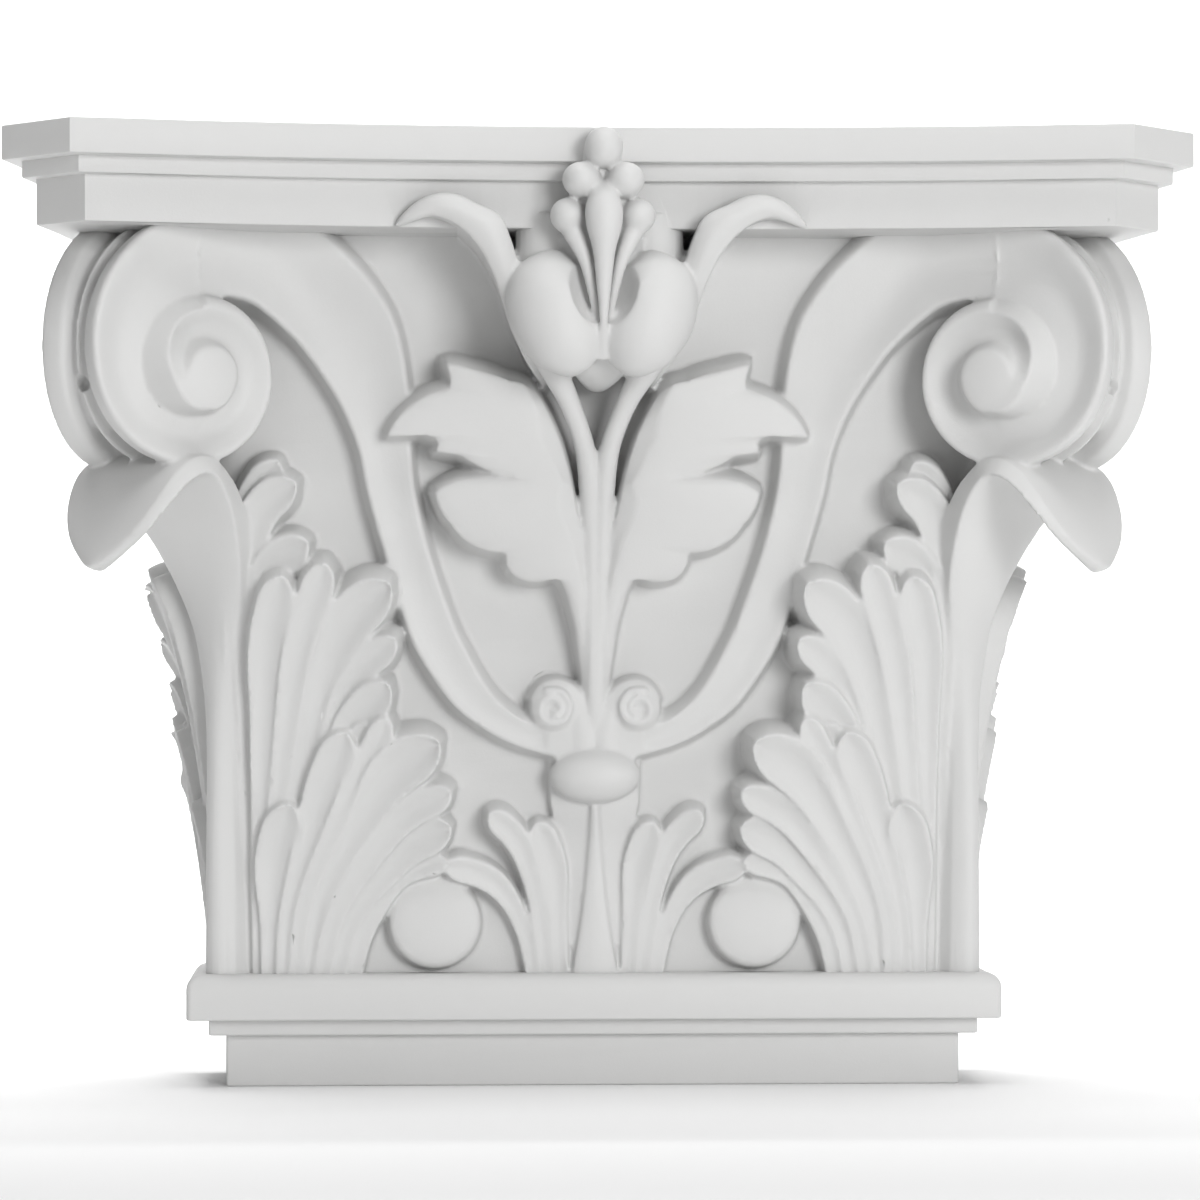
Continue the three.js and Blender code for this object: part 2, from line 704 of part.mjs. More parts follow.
// Calyx leaf that opens outwards and ends in a curled tendril
function calyx() {
  const course = [
    [20, 244, 14, 252, 34], [31, 250, 18, 262, 46], [39, 268, 24, 274, 56], [44, 284, 29, 288, 62],
    [50, 295, 33, 300, 66], [56, 301, 38, 308, 68], [62, 305, 48, 311, 67], [69, 307, 60, 315, 66],
    [76, 306.5, 74, 313, 64], [82, 303.5, 81.5, 305.5, 61],
  ];
  const crown = 3;
  const foot = 10;
  const tip = 48;
  const front = (u, v) => {
    const [ox, oz, ix, iz, out] = course[Math.round(v * (course.length - 1))];
    return place(lerp(ox, ix, u), lerp(oz, iz, u), out + crown * Math.sin(Math.PI * u));
  };
  const back = (u, v) => {
    const [ox, oz, ix, iz] = course[Math.round(v * (course.length - 1))];
    const x = lerp(ox, ix, u) - crown * (1 - v);
    return place(x, lerp(oz, iz, u), lerp(foot, tip, smooth(v, 0.5, 0.8)));
  };
  return slab(2, course.length - 1, front, back);
}

// Half of the flower: a round petal with a hollow, and its fold over the middle
function petal() {
  const body = ball(PETAL_PLACE, PETAL_SIZE, 10);
  const lap = ball(LAP_PLACE, LAP_SIZE, 8);
  return body.add(lap).subtract(ball(CUP_PLACE, CUP_SIZE));
}

// Berries over the petals, the pistil between them and the side stalks
function berries() {
  const sides = [-1, 1].map((side) => [
    ...BERRY_PLACES.map(([x, z, out]) => ball([side * x, z, out], BERRY_SIZE, 7)),
    rod([[side * 2, 262, 70, 1.5], [side * 6, 288, 72, 2.4], [side * 14, 306, 70, 3.5]], 5),
  ]);
  const pistil = rod([
    [0, 252, 66, 3], [0, 266, 76, 2.4], [0, 294, 77, 4.5], [0, 306, 76, 6.5], [0, 316, 73, 4.5],
  ]);
  return join([ball(TOP_BERRY_PLACE, BERRY_SIZE), pistil, ...sides.flat()]);
}

// Heart of the flower: fills between the bell, the calyx and the petals, up to the top berry
function heart() {
  const [, berryRise, berryOut] = TOP_BERRY_PLACE;
  return join([
    rod([[0, 240, 20, 8], [0, 256, 42, 17], [0, 300, 50, 18]], 8),
    rod([[0, 296, 56, 12], [0, berryRise + SEAT, berryOut - HEART_DEPTH, 8]]),
  ]);
}

// Corner leaf: it climbs the bell's corner and its tip curls over outwards.
// Each station is [distance out along the diagonal, z, half width].
const TONGUE_COURSE = [
  [4, -1, 9], [5, 103, 10], [8, 138, 14], [14, 163, 21], [24, 184, 28], [34, 197, 33],
  [43, 205, 36], [54, 201, 35], [64, 189, 30], [70, 177, 20], [73, 167, 4],
];
const TONGUE_CROWN = [7, 2.5];
const TONGUE_THICKNESS = [16, 5];

function tongue() {
  const profile = [[-1, 0], [-0.6, 1], [0, 1.2], [0.6, 1], [1, 0]];
  return loft(TONGUE_COURSE.map(([reach, z, width], k) => {
    const before = TONGUE_COURSE[Math.max(k - 1, 0)];
    const after = TONGUE_COURSE[Math.min(k + 1, TONGUE_COURSE.length - 1)];
    const way = new THREE.Vector2(after[0] - before[0], after[1] - before[1]).normalize();
    const share = k / (TONGUE_COURSE.length - 1);
    const crown = lerp(TONGUE_CROWN[0], TONGUE_CROWN[1], smooth(share, 0, 0.5));
    const thick = lerp(TONGUE_THICKNESS[0], TONGUE_THICKNESS[1], smooth(share, 0.35, 0.8));
    const point = (side, offset) => {
      const outAlong = reach + way.y * offset;
      const height = z - way.x * offset;
      const aside = (outAlong + side * width) / Math.SQRT2 - BELL_INSET;
      const out = (outAlong - side * width) / Math.SQRT2 - BELL_INSET;
      return [-HALF - aside, FRONT - out, BELL_FOOT + height * BELL_RISE / SHEET_RISE];
    };
    const face = profile.map(([side, offset]) => point(side, offset * crown));
    const rear = [-0.8, 0.8].map((side) => point(-side, -thick));
    return [...face, ...rear];
  }));
}

// Small blind hole in the groove behind the front scroll
function drillHole() {
  const turns = 0.26;
  const groove = 0.24;
  const near = new THREE.Vector3(...onScroll(turns, spiral(turns) * 0.92, -DRUM_SINK));
  const far = near.clone().applyMatrix4(sideways());
  const mouth = near.lerp(far, groove);
  const hub = new THREE.Vector3(...onScroll(0, 0, -SCROLL_THICKNESS));
  const way = mouth.clone().sub(hub).setZ(0).normalize();
  const geometry = new THREE.CylinderGeometry(DRILL_RADIUS, DRILL_RADIUS, DRILL_DEPTH, 10);
  const turn = new THREE.Quaternion().setFromUnitVectors(new THREE.Vector3(0, 1, 0), way);
  geometry.applyQuaternion(turn);
  geometry.translate(...mouth.toArray());
  return solidOf(geometry);
}

// Everything on one face of a corner, and the corner itself
function corner() {
  const face = [sideLobe(), backLeaf(), frontLeaf(), band(), scrollFace(SCROLL_STEPS)];
  const side = face.map((piece) => moved(piece, sideways()));
  return [...face, ...side, scrollDrum(SCROLL_STEPS), tongue()];
}

function middle() {
  return [middleLeaf(), roundel(), stemLeaf(), stem(), ...stalk(), ...smallScroll(), calyx(), petal()];
}

function capital() {
  const mirror = new THREE.Matrix4().makeScale(-1, 1, 1);
  const bothSides = (pieces) => [...pieces, ...pieces.map((piece) => moved(piece, mirror))];
  const carving = bothSides([...corner(), ...middle()]);
  const bud = ball(BUD_PLACE, BUD_SIZE, 12);
  const whole = join([base(), bell(), abacus(), heart(), ...carving, bud, berries()]);
  const holes = join(bothSides([drillHole()]));
  const behind = new THREE.BoxGeometry(3 * BLOCK_WIDTH, BLOCK_WIDTH, 2 * HEIGHT);
  behind.translate(0, WALL + BLOCK_WIDTH / 2, HEIGHT / 2);
  return whole.subtract(holes).subtract(solidOf(behind));
}

const primer = new THREE.MeshStandardMaterial({ color: 0xd6d6d4, roughness: 0.62, metalness: 0 });
const group = new THREE.Group();
const mesh = new THREE.Mesh(welded(geometryOf(capital())), primer);
mesh.name = 'capital';
group.add(mesh);

export default group;
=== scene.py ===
"""Looks of a corinthian pilaster capital: a one-piece casting in white primer.

The carving is drawn on a flat sheet that lies on the bell's face: x is counted
from the middle outwards and z from the foot of the bell upwards, both in
millimetres, and out is how far a point stands in front of the block's face. It
is drawn for the left half of the front, mirrored across the corner's diagonal
for the side return, and mirrored to the right.
"""

import json
import math

import bmesh
import bpy
import numpy as np
from bpy.props import FloatProperty, FloatVectorProperty, IntProperty, PointerProperty
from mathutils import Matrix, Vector

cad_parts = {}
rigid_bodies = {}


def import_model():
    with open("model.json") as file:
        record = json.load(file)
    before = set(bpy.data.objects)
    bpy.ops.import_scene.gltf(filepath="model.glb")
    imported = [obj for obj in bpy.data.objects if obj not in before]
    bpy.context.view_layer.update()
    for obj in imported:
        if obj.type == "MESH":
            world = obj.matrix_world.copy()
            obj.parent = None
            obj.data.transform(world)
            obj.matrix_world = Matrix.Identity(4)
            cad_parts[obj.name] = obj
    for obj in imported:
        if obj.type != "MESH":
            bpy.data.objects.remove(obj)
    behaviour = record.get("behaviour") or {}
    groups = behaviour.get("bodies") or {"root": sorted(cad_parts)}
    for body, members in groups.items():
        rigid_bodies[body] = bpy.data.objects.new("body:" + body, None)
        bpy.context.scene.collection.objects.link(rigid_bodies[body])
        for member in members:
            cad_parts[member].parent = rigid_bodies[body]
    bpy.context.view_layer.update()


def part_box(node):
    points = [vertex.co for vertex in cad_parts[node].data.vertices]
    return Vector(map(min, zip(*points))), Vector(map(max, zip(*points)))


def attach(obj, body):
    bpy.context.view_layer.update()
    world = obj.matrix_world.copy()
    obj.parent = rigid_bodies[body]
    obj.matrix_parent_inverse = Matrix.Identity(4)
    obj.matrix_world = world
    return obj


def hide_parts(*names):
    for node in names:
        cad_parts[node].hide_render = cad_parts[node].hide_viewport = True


bl_info = {
    "name": "Corinthian Pilaster Capital",
    "version": (1, 0, 0),
    "blender": (4, 5, 0),
    "location": "3D View > Sidebar > Capital",
    "description": "Models a primed, moulded pilaster capital and its studio",
    "category": "Object",
}

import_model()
_, cad_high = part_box("capital")

MM = 0.001
PATTERN = "pattern_"

# The sheet's own extent, as the carving was measured
SHEET_HALF = 150.0
SHEET_RISE = 303.0

# How far the carving runs on behind the wall's plane, before it is cut off there
WALL_OVERRUN = 8.0

# Width of the picture in pixels, and the pixel that the level camera's axis meets
PICTURE = 1200
AXIS_ACROSS = 594
AXIS_DOWN = 700


class CapitalSizes(bpy.types.PropertyGroup):
    """Sizes of the casting"""

    block_width: FloatProperty(
        name="Block width", description="Width of the plain block, which is the shaft's",
        default=0.305, unit="LENGTH")
    block_height: FloatProperty(
        name="Block height", description="Height of the plain block",
        default=0.0215, unit="LENGTH")
    fillet_overhang: FloatProperty(
        name="Fillet overhang", description="How far the fillet stands over the block",
        default=0.007, unit="LENGTH")
    fillet_height: FloatProperty(
        name="Fillet height", description="Height of the fillet",
        default=0.0067, unit="LENGTH")
    bar_overhang: FloatProperty(
        name="Bar overhang", description="How far the bar stands over the block",
        default=0.016, unit="LENGTH")
    bar_height: FloatProperty(
        name="Bar height", description="Height of the bar", default=0.0188, unit="LENGTH")
    bar_round: FloatProperty(
        name="Bar rounding", description="Rounding of the bar's upper edge",
        default=0.006, unit="LENGTH")
    bell_inset: FloatProperty(
        name="Bell inset", description="How far the bell's foot lies behind the block's face",
        default=0.002, unit="LENGTH")
    bell_flare: FloatProperty(
        name="Bell flare", description="How far the bell spreads from foot to top",
        default=0.022, unit="LENGTH")
    bell_corner: FloatProperty(
        name="Bell corner", description="Rounding of the bell's upright corners",
        default=0.014, unit="LENGTH")
    abacus_hollow: FloatProperty(
        name="Abacus hollow", description="Depth of the curve in the abacus front",
        default=0.022, unit="LENGTH")
    horn_chamfer: FloatProperty(
        name="Horn chamfer", description="How much is clipped off each horn",
        default=0.029, unit="LENGTH")
    edge_round: FloatProperty(
        name="Edge rounding", description="Rounding of the crisp mouldings",
        default=0.0009, unit="LENGTH")
    scroll_dish: FloatProperty(
        name="Scroll dish", description="Depth of the channel in the scrolls",
        default=0.0045, unit="LENGTH")
    scroll_step: FloatProperty(
        name="Scroll step", description="Height of the inner turn over the outer one",
        default=0.009, unit="LENGTH")
    eye_radius: FloatProperty(
        name="Eye radius", description="Radius of the scroll's eye",
        default=0.0105, unit="LENGTH")
    band_raise: FloatProperty(
        name="Band height", description="How far the bands stand off the bell",
        default=0.012, unit="LENGTH")
    flute_depth: FloatProperty(
        name="Flute depth", description="Depth of the channels in the leaves",
        default=0.0022, unit="LENGTH")


class CapitalFinish(bpy.types.PropertyGroup):
    """Primer and fineness of the casting"""

    primer: FloatVectorProperty(
        name="Primer", description="Colour of the factory primer",
        default=(0.60, 0.60, 0.595), size=3, subtype="COLOR", min=0, max=1)
    roughness: FloatProperty(
        name="Roughness", description="Roughness of the primer", default=0.56, min=0, max=1)
    grain: FloatProperty(
        name="Grain", description="Spacing of the resample that fuses the carving",
        default=0.0009, unit="LENGTH")
    softening: IntProperty(
        name="Softening", description="Smoothing passes over the fused carving", default=4)
    faces: IntProperty(
        name="Faces", description="Triangles kept for the carving", default=184000)


class StudioSettings(bpy.types.PropertyGroup):
    """Floor, lights and camera"""

    floor_colour: FloatVectorProperty(
        name="Floor", description="Colour of the floor and its backdrop",
        default=(0.92, 0.92, 0.92), size=3, subtype="COLOR", min=0, max=1)
    key_power: FloatProperty(
        name="Key light", description="Power of the soft light from the right",
        default=42.0, unit="POWER")
    fill_strength: FloatProperty(
        name="Fill", description="Strength of the even light from all round", default=0.2)
    distance: FloatProperty(
        name="Distance", description="Camera to the block's face", default=1.9, unit="LENGTH")
    eye_height: FloatProperty(
        name="Camera height", description="Height of the camera", default=0.16, unit="LENGTH")
    yaw: FloatProperty(
        name="Yaw", description="How far the camera stands to the left",
        default=math.radians(3.0), unit="ROTATION")
    frame_width: FloatProperty(
        name="Frame width", description="Width of the picture at the block's face",
        default=0.49884, unit="LENGTH")


class Sheet:
    """Sizes in millimetres, and where the sheet's points lie on the bell."""

    def __init__(self, sizes):
        self.width = sizes.block_width / MM
        self.half = self.width / 2
        self.wall = cad_high.y / MM
        self.behind = self.wall + WALL_OVERRUN
        self.front = -self.wall
        self.height = cad_high.z / MM
        self.block_top = sizes.block_height / MM
        self.fillet_out = sizes.fillet_overhang / MM
        self.bar_foot = self.block_top + sizes.fillet_height / MM
        self.bar_out = sizes.bar_overhang / MM
        self.bar_round = sizes.bar_round / MM
        self.foot = self.bar_foot + sizes.bar_height / MM
        self.inset = sizes.bell_inset / MM
        self.flare = sizes.bell_flare / MM
        self.bell_corner = sizes.bell_corner / MM
        self.horn_out = cad_high.x / MM - self.half
        self.hollow = sizes.abacus_hollow / MM
        self.chamfer = sizes.horn_chamfer / MM
        self.edge = sizes.edge_round / MM
        # Heights of the abacus tiers from below, and how far each lies behind the top one
        self.tiers = [18.7, 6.9, 14.1]
        self.tier_insets = [12.5, 7.3, 0.0]
        self.abacus_foot = self.height - sum(self.tiers)
        self.rise = self.abacus_foot - self.foot
        self.bell_half = self.half - self.inset
        self.dish = sizes.scroll_dish / MM
        self.step = sizes.scroll_step / MM
        self.eye = sizes.eye_radius / MM
        self.band = sizes.band_raise / MM
        self.flute = sizes.flute_depth / MM
        # How deep the carving's edges run into the bell
        self.bury = 5.0

    def bell_out(self, z):
        share = np.clip(np.asarray(z, float) / SHEET_RISE, 0, 1.1)
        return -self.inset + self.flare * share ** 2.5

    def place(self, spots):
        """Points of the sheet as (x, z, out) to points in the part's frame, in millimetres."""
        x, z, out = np.moveaxis(np.asarray(spots, float), -1, 0)
        return np.stack([
            -x * self.bell_half / SHEET_HALF,
            self.front - out,
            self.foot + z * self.rise / SHEET_RISE,
        ], axis=-1)

    def sideways(self, points):
        """Reflects points of the front across the corner's diagonal on to the side."""
        x, y, z = np.moveaxis(points, -1, 0)
        return np.stack([y - self.half - self.front, x + self.front + self.half, z], axis=-1)


def smooth(value, low, high):
    """0 below low and 1 above high, with a soft run between."""
    share = np.clip((np.asarray(value, float) - low) / (high - low), 0, 1)
    return share * share * (3 - 2 * share)


def mix(a, b, share):
    return a + (b - a) * share


def along(points, spots):
    """Smooth course through the points, at spots that are counted in points."""
    points = np.asarray(points, float)
    spots = np.asarray(spots, float)
    first = np.minimum(spots.astype(int), len(points) - 2)
    t = (spots - first).reshape(spots.shape + (1,) * (points.ndim - 1))
    before = points[np.maximum(first - 1, 0)]
    after = points[np.minimum(first + 2, len(points) - 1)]
    start, end = points[first], points[first + 1]
    leave, arrive = (end - before) / 2, (after - start) / 2
    return (start * (2 * t ** 3 - 3 * t ** 2 + 1) + end * (3 * t ** 2 - 2 * t ** 3)
            + leave * (t ** 3 - 2 * t ** 2 + t) + arrive * (t ** 3 - t ** 2))


def through(points, count):
    """A smooth course of so many points through the given ones."""
    return along(points, np.linspace(0, len(points) - 1, count))


def quads(rows, columns, around=False):
    """Faces of a grid of points. Around joins each row's last point to its first."""
    index = np.arange(rows * columns).reshape(rows, columns)
    if around:
        index = np.concatenate([index, index[:, :1]], axis=1)
    corners = [index[:-1, :-1], index[:-1, 1:], index[1:, 1:], index[1:, :-1]]
    return np.stack(corners, axis=-1).reshape(-1, 4)


def fan(ring, hub):
    """Triangles from a closed ring of point numbers to a hub."""
    return np.stack([ring, np.roll(ring, -1), np.full(len(ring), hub)], axis=-1)


def loft(rings):
    """Closed skin through rings with the same number of points."""
    rings = np.asarray(rings, float)
    rows, columns = rings.shape[:2]
    points = rings.reshape(-1, 3)
    count = len(points)
    hubs = np.stack([rings[0].mean(axis=0), rings[-1].mean(axis=0)])
    first = np.arange(columns)
    last = first + (rows - 1) * columns
    faces = [quads(rows, columns, around=True), fan(first, count), fan(last[::-1], count + 1)]
    return np.concatenate([points, hubs]), faces


def border(rows, columns):
    """Point numbers round the edge of a grid, and which of them lie on its first row."""
    index = np.arange(rows * columns).reshape(rows, columns)
    ring = np.concatenate([index[:, 0], index[-1, 1:], index[-2::-1, -1], index[0, -2:0:-1]])
    return ring, ring < columns


def relief(sheet, top, side=0.22, over=0.3, rest_row=True):
    """Closed skin of a form that stands on the bell, from its face as a grid of (x, z, out).

    The edge runs down to the bell with a draft: side is its share of the height, and
    over is added where the edge looks upwards, as a leaf's tip that rolls over does.
    """
    top = np.asarray(top, float)
    rows, columns = top.shape[:2]
    points = top.reshape(-1, 3)
    ring, on_first = border(rows, columns)
    edge = points[ring]
    flat = edge[:, :2]
    run = np.roll(flat, -1, axis=0) - np.roll(flat, 1, axis=0)
    away = np.stack([run[:, 1], -run[:, 0]], axis=-1)
    following = np.roll(flat, -1, axis=0)
    area = np.sum(flat[:, 0] * following[:, 1] - following[:, 0] * flat[:, 1])
    away *= math.copysign(1, area) / np.maximum(np.linalg.norm(away, axis=1), 1e-6)[:, None]
    floor = sheet.bell_out(flat[:, 1]) - sheet.bury
    height = edge[:, 2] - floor
    up = np.clip(away[:, 1], 0, 1)
    spread = height * (side + over * up)
    if rest_row:
        spread = np.where(on_first, 0, spread)
    skirt = []
    start = math.radians(25)
    steps = 6
    for k in range(1, steps + 1):
        q = k / steps
        angle = mix(start, math.pi / 2, q)
        out_round = (math.sin(angle) - math.sin(start)) / (1 - math.sin(start))
        drop_round = (math.cos(start) - math.cos(angle)) / math.cos(start)
        out = spread * mix(q, out_round, up)
        drop = height * mix(q, drop_round, up)
        skirt.append(np.column_stack([flat + away * out[:, None], edge[:, 2] - drop]))
    skirt = np.asarray(skirt)
    hub = np.append(flat.mean(axis=0), floor.mean())
    everything = np.concatenate([points, skirt.reshape(-1, 3), hub[None]])
    faces = [quads(rows, columns)]
    loop = ring
    for k in range(steps):
        lower = len(points) + k * len(ring) + np.arange(len(ring))
        faces.append(np.stack([loop, np.roll(loop, -1), np.roll(lower, -1), lower], axis=-1))
        loop = lower
    faces.append(fan(loop, len(everything) - 1))
    return sheet.place(everything), faces


def ball(sheet, spot, size, steps=40):
    """Ellipsoid at a place on the sheet."""
    middle = sheet.place(spot)
    rings = []
    for lat in np.linspace(-math.pi / 2 + 0.02, math.pi / 2 - 0.02, steps // 2):
        turn = np.linspace(0, 2 * math.pi, steps, endpoint=False)
        rings.append(np.column_stack([
            size[0] * math.cos(lat) * np.cos(turn),
            size[1] * math.cos(lat) * np.sin(turn),
            np.full(steps, size[2] * math.sin(lat)),
        ]) + middle)
    return loft(rings)


def rod(sheet, course, count=48, sides=24, squash=1.0):
    """Round bar along a smooth course of [x, z, out, radius]."""
    line = through(course, count)
    way = np.gradient(line[:, :3], axis=0)
    way /= np.linalg.norm(way, axis=1)[:, None]
    out = np.array([0.0, 0.0, 1.0]) - way * way[:, 2:3]
    out /= np.linalg.norm(out, axis=1)[:, None]
    across = np.cross(way, out)
    rings = []
    for turn in np.linspace(0, 2 * math.pi, sides, endpoint=False):
        spoke = across * math.cos(turn) + out * math.sin(turn) * squash
        rings.append(line[:, :3] + spoke * line[:, 3:4])
    return loft(sheet.place(np.moveaxis(np.asarray(rings), 0, 1)))


def disc(sheet, spot, profile, steps=64):
    """Round boss at a place on the sheet, from its profile of [radius, out]."""
    turn = np.linspace(0, 2 * math.pi, steps, endpoint=False)
    rings = [np.column_stack([
        spot[0] + radius * np.cos(turn),
        spot[1] + radius * np.sin(turn),
        np.full(steps, float(out)),
    ]) for radius, out in profile]
    return loft(sheet.place(rings))


# The bell and its mouldings


def rounded(sheet, half, out, radius, steps=8):
    """Outline of a rounded rectangle that reaches through the wall's plane."""
    ring = [[-half, sheet.behind]]
    for side, start in ((-1, math.pi), (1, 1.5 * math.pi)):
        for turn in np.linspace(start, start + math.pi / 2, steps + 1):
            ring.append([side * (half - radius) + radius * math.cos(turn),
                         sheet.front - out + radius + radius * math.sin(turn)])
    ring.append([half, sheet.behind])
    return np.asarray(ring)


def levels(rings):
    """Loft through outlines that each lie at a height."""
    return loft([np.column_stack([ring, np.full(len(ring), float(z))]) for ring, z in rings])


def bell(sheet):
    rings = []
    for z in np.linspace(-1, SHEET_RISE + 2, 40):
        out = float(sheet.bell_out(z))
        height = sheet.foot + z * sheet.rise / SHEET_RISE
        rings.append((rounded(sheet, sheet.half + out, out, sheet.bell_corner), height))
    return levels(rings)


def base_mouldings(sheet):
    """Block, fillet and bar, each with softly rounded edges."""
    soft = sheet.edge

    def step(out, low, high, corner, top_round):
        rings = []
        for turn in np.linspace(0, math.pi / 2, 4):
            inset = soft * (1 - math.sin(turn))
            at = low + soft * (1 - math.cos(turn))
            rings.append((rounded(sheet, sheet.half + out - inset, out - inset, corner, 4), at))
        for turn in np.linspace(0, math.pi / 2, 8):
            inset = top_round * (1 - math.cos(turn))
            at = high - top_round * (1 - math.sin(turn))
            rings.append((rounded(sheet, sheet.half + out - inset, out - inset, corner, 4), at))
        return levels(rings)

    return [
        step(0.0, 0.0, sheet.block_top + 1, 1.2, 0.3),
        step(sheet.fillet_out, sheet.block_top, sheet.bar_foot + 1, 1.2, 0.3),
        step(sheet.bar_out, sheet.bar_foot, sheet.foot, 2.5, sheet.bar_round),
    ]


def tier_outline(sheet, inset):
    """Outline of an abacus tier: hollow front and side edges, with clipped horns."""
    reach = sheet.half + sheet.horn_out - sheet.chamfer
    corner = reach - inset * math.tan(math.pi / 8)

    def out(x):
        return sheet.horn_out - inset - sheet.hollow * (1 - (x / reach) ** 2)

    front = [[-x, sheet.front - out(x)] for x in np.linspace(corner, 0, 22)]
    depth = sheet.half - 2 * sheet.wall - WALL_OVERRUN
    side = [[-sheet.half - out(x), sheet.front - (x - sheet.half)]
            for x in np.linspace(depth, corner, 9)]
    half = side + front
    return np.asarray(half + [[-x, y] for x, y in half[-2::-1]])


def shrunk(outline, inset):
    """The outline moved inwards, square to its edges."""
    before = outline - np.roll(outline, 1, axis=0)
    after = np.roll(outline, -1, axis=0) - outline
    before /= np.linalg.norm(before, axis=1)[:, None]
    after /= np.linalg.norm(after, axis=1)[:, None]
    inward = np.column_stack([-(before[:, 1] + after[:, 1]), before[:, 0] + after[:, 0]])
    share = np.maximum(1 + np.sum(before * after, axis=1), 0.3)
    return outline + inward * (inset / share)[:, None]


def abacus(sheet):
    shells = []
    low = sheet.abacus_foot
    soft = sheet.edge
    for k, (height, inset) in enumerate(zip(sheet.tiers, sheet.tier_insets)):
        outline = tier_outline(sheet, inset)
        last = k == len(sheet.tiers) - 1
        high = low + height + (0 if last else 1)
        rings = []
        for turn in np.linspace(0, math.pi / 2, 3):
            rings.append((shrunk(outline, soft * (1 - math.sin(turn))),
                          low + soft * (1 - math.cos(turn))))
        for turn in np.linspace(0, math.pi / 2, 3):
            rings.append((shrunk(outline, soft * (1 - math.cos(turn))),
                          high - soft * (1 - math.sin(turn))))
        shells.append(levels(rings))
        low += height
    return shells


# Corner scrolls

SCROLL_TURN = math.radians(30)
SCROLL_ASIDE = 8.0
SCROLL_OUT = 49.0
SCROLL_RISE = 243.3

# Radius of the scroll at each quarter turn from the top, outwards and down first
SCROLL_RADII = [67, 47.5, 35.5, 32, 33, 25.5, 15.5, 12.5, 11.5]

# Where the drum's valleys and its ridge are drawn, from the plane of the scroll's face
DRUM_LIFT = -12.0

# Place of the blind hole: turns from the top, and share of the way to the side's scroll
DRILL_TURN = 0.262
DRILL_SHARE = 0.57


def spiral(turns):
    """Radius of the scroll after so many turns from the top."""
    return along(SCROLL_RADII, np.clip(np.asarray(turns, float) * 4, 0, len(SCROLL_RADII) - 1))


def on_scroll(sheet, turns, radius, lift):
    """Points on the scroll's leaning face, lift proud of it."""
    across = radius * np.sin(turns * 2 * math.pi)
    aside = SCROLL_ASIDE + across * math.cos(SCROLL_TURN) - lift * math.sin(SCROLL_TURN)
    out = SCROLL_OUT + across * math.sin(SCROLL_TURN) + lift * math.cos(SCROLL_TURN)
    z = sheet.foot + SCROLL_RISE * sheet.rise / SHEET_RISE + radius * np.cos(turns * 2 * math.pi)
    return np.stack([-sheet.half - aside, sheet.front - out, z], axis=-1)


def channel(share):
    """Cross-section of the outer turn's hollow, from its rim to the inner turn's foot."""
    return np.where(share < 0.6, smooth(share, 0, 0.6), 1 - 0.3 * smooth(share, 0.6, 1))


def scroll_height(sheet, radius, turns):
    """How far the scroll's face stands over its plane. It joins up after a whole turn."""
    outer = spiral(turns)
    inner = spiral(turns + 1)
    entry = sheet.step / 3
    eye_top = sheet.step + 1.2 - 1.0 * (radius / sheet.eye) ** 2
    near_end = smooth(turns, 0.78, 1)
    edge_width = mix(2.2, 6.0, near_end)
    edge_drop = mix(2.0, entry + 2.5, near_end)

    # First half turn: the outer turn's hollow, a climb, and the inner turn with its own
    wall = mix(6.0, 7.5, smooth(turns, 0, 0.25)) - 5.3 * smooth(turns, 0.25, 0.46)
    rim = inner - wall
    raised = entry + (sheet.step - entry) * smooth(turns, 0, 0.3)
    span = np.clip((outer - radius) / np.maximum(outer - inner, 1), 0, 1)
    foot = -0.7 * sheet.dish
    outer_turn = -sheet.dish * channel(span)
    valley = (sheet.dish - 0.4) * (1 - smooth(turns, 0.05, 0.3))
    inside = np.clip((rim - radius) / np.maximum(rim - sheet.eye, 0.5), 0, 1)
    inner_turn = raised - valley * np.sin(math.pi * inside)
    climb = mix(foot, raised, np.clip((inner - radius) / wall, 0, 1))
    first = np.where(radius > inner, outer_turn, np.where(radius > rim, climb, inner_turn))
    soft = mix(6.0, 1.5, smooth(turns, 0, 0.25))
    first = mix(eye_top, first, smooth(radius, sheet.eye, sheet.eye + soft))

    # Second half turn: one hollow from the rim to the eye, whose floor rises to the entry
    late = smooth(turns, 0.5, 1)
    rimmed = outer - edge_width
    wide = np.clip((outer - radius) / np.maximum(outer - 13, 1), 0, 1)
    narrow = np.clip((rimmed - radius) / np.maximum(rimmed - sheet.eye, 1), 0, 1)
    hollow = mix(sheet.dish * channel(wide), (sheet.dish - 0.4) * np.sin(math.pi * narrow), late)
    start = mix(14.0, sheet.eye, smooth(turns, 0.5, 0.7))
    soft = mix(1.6, 7.0, smooth(turns, 0.5, 0.75)) - 1.0 * smooth(turns, 0.8, 1)
    second = mix(eye_top, entry * late - hollow, smooth(radius, start, start + soft))

    face = np.where(turns < 0.5, first, second)
    near = np.clip(1 - (outer - radius) / edge_width, 0, 1)
    return face - edge_drop * (1 - np.sqrt(np.maximum(1 - near ** 2, 0)))


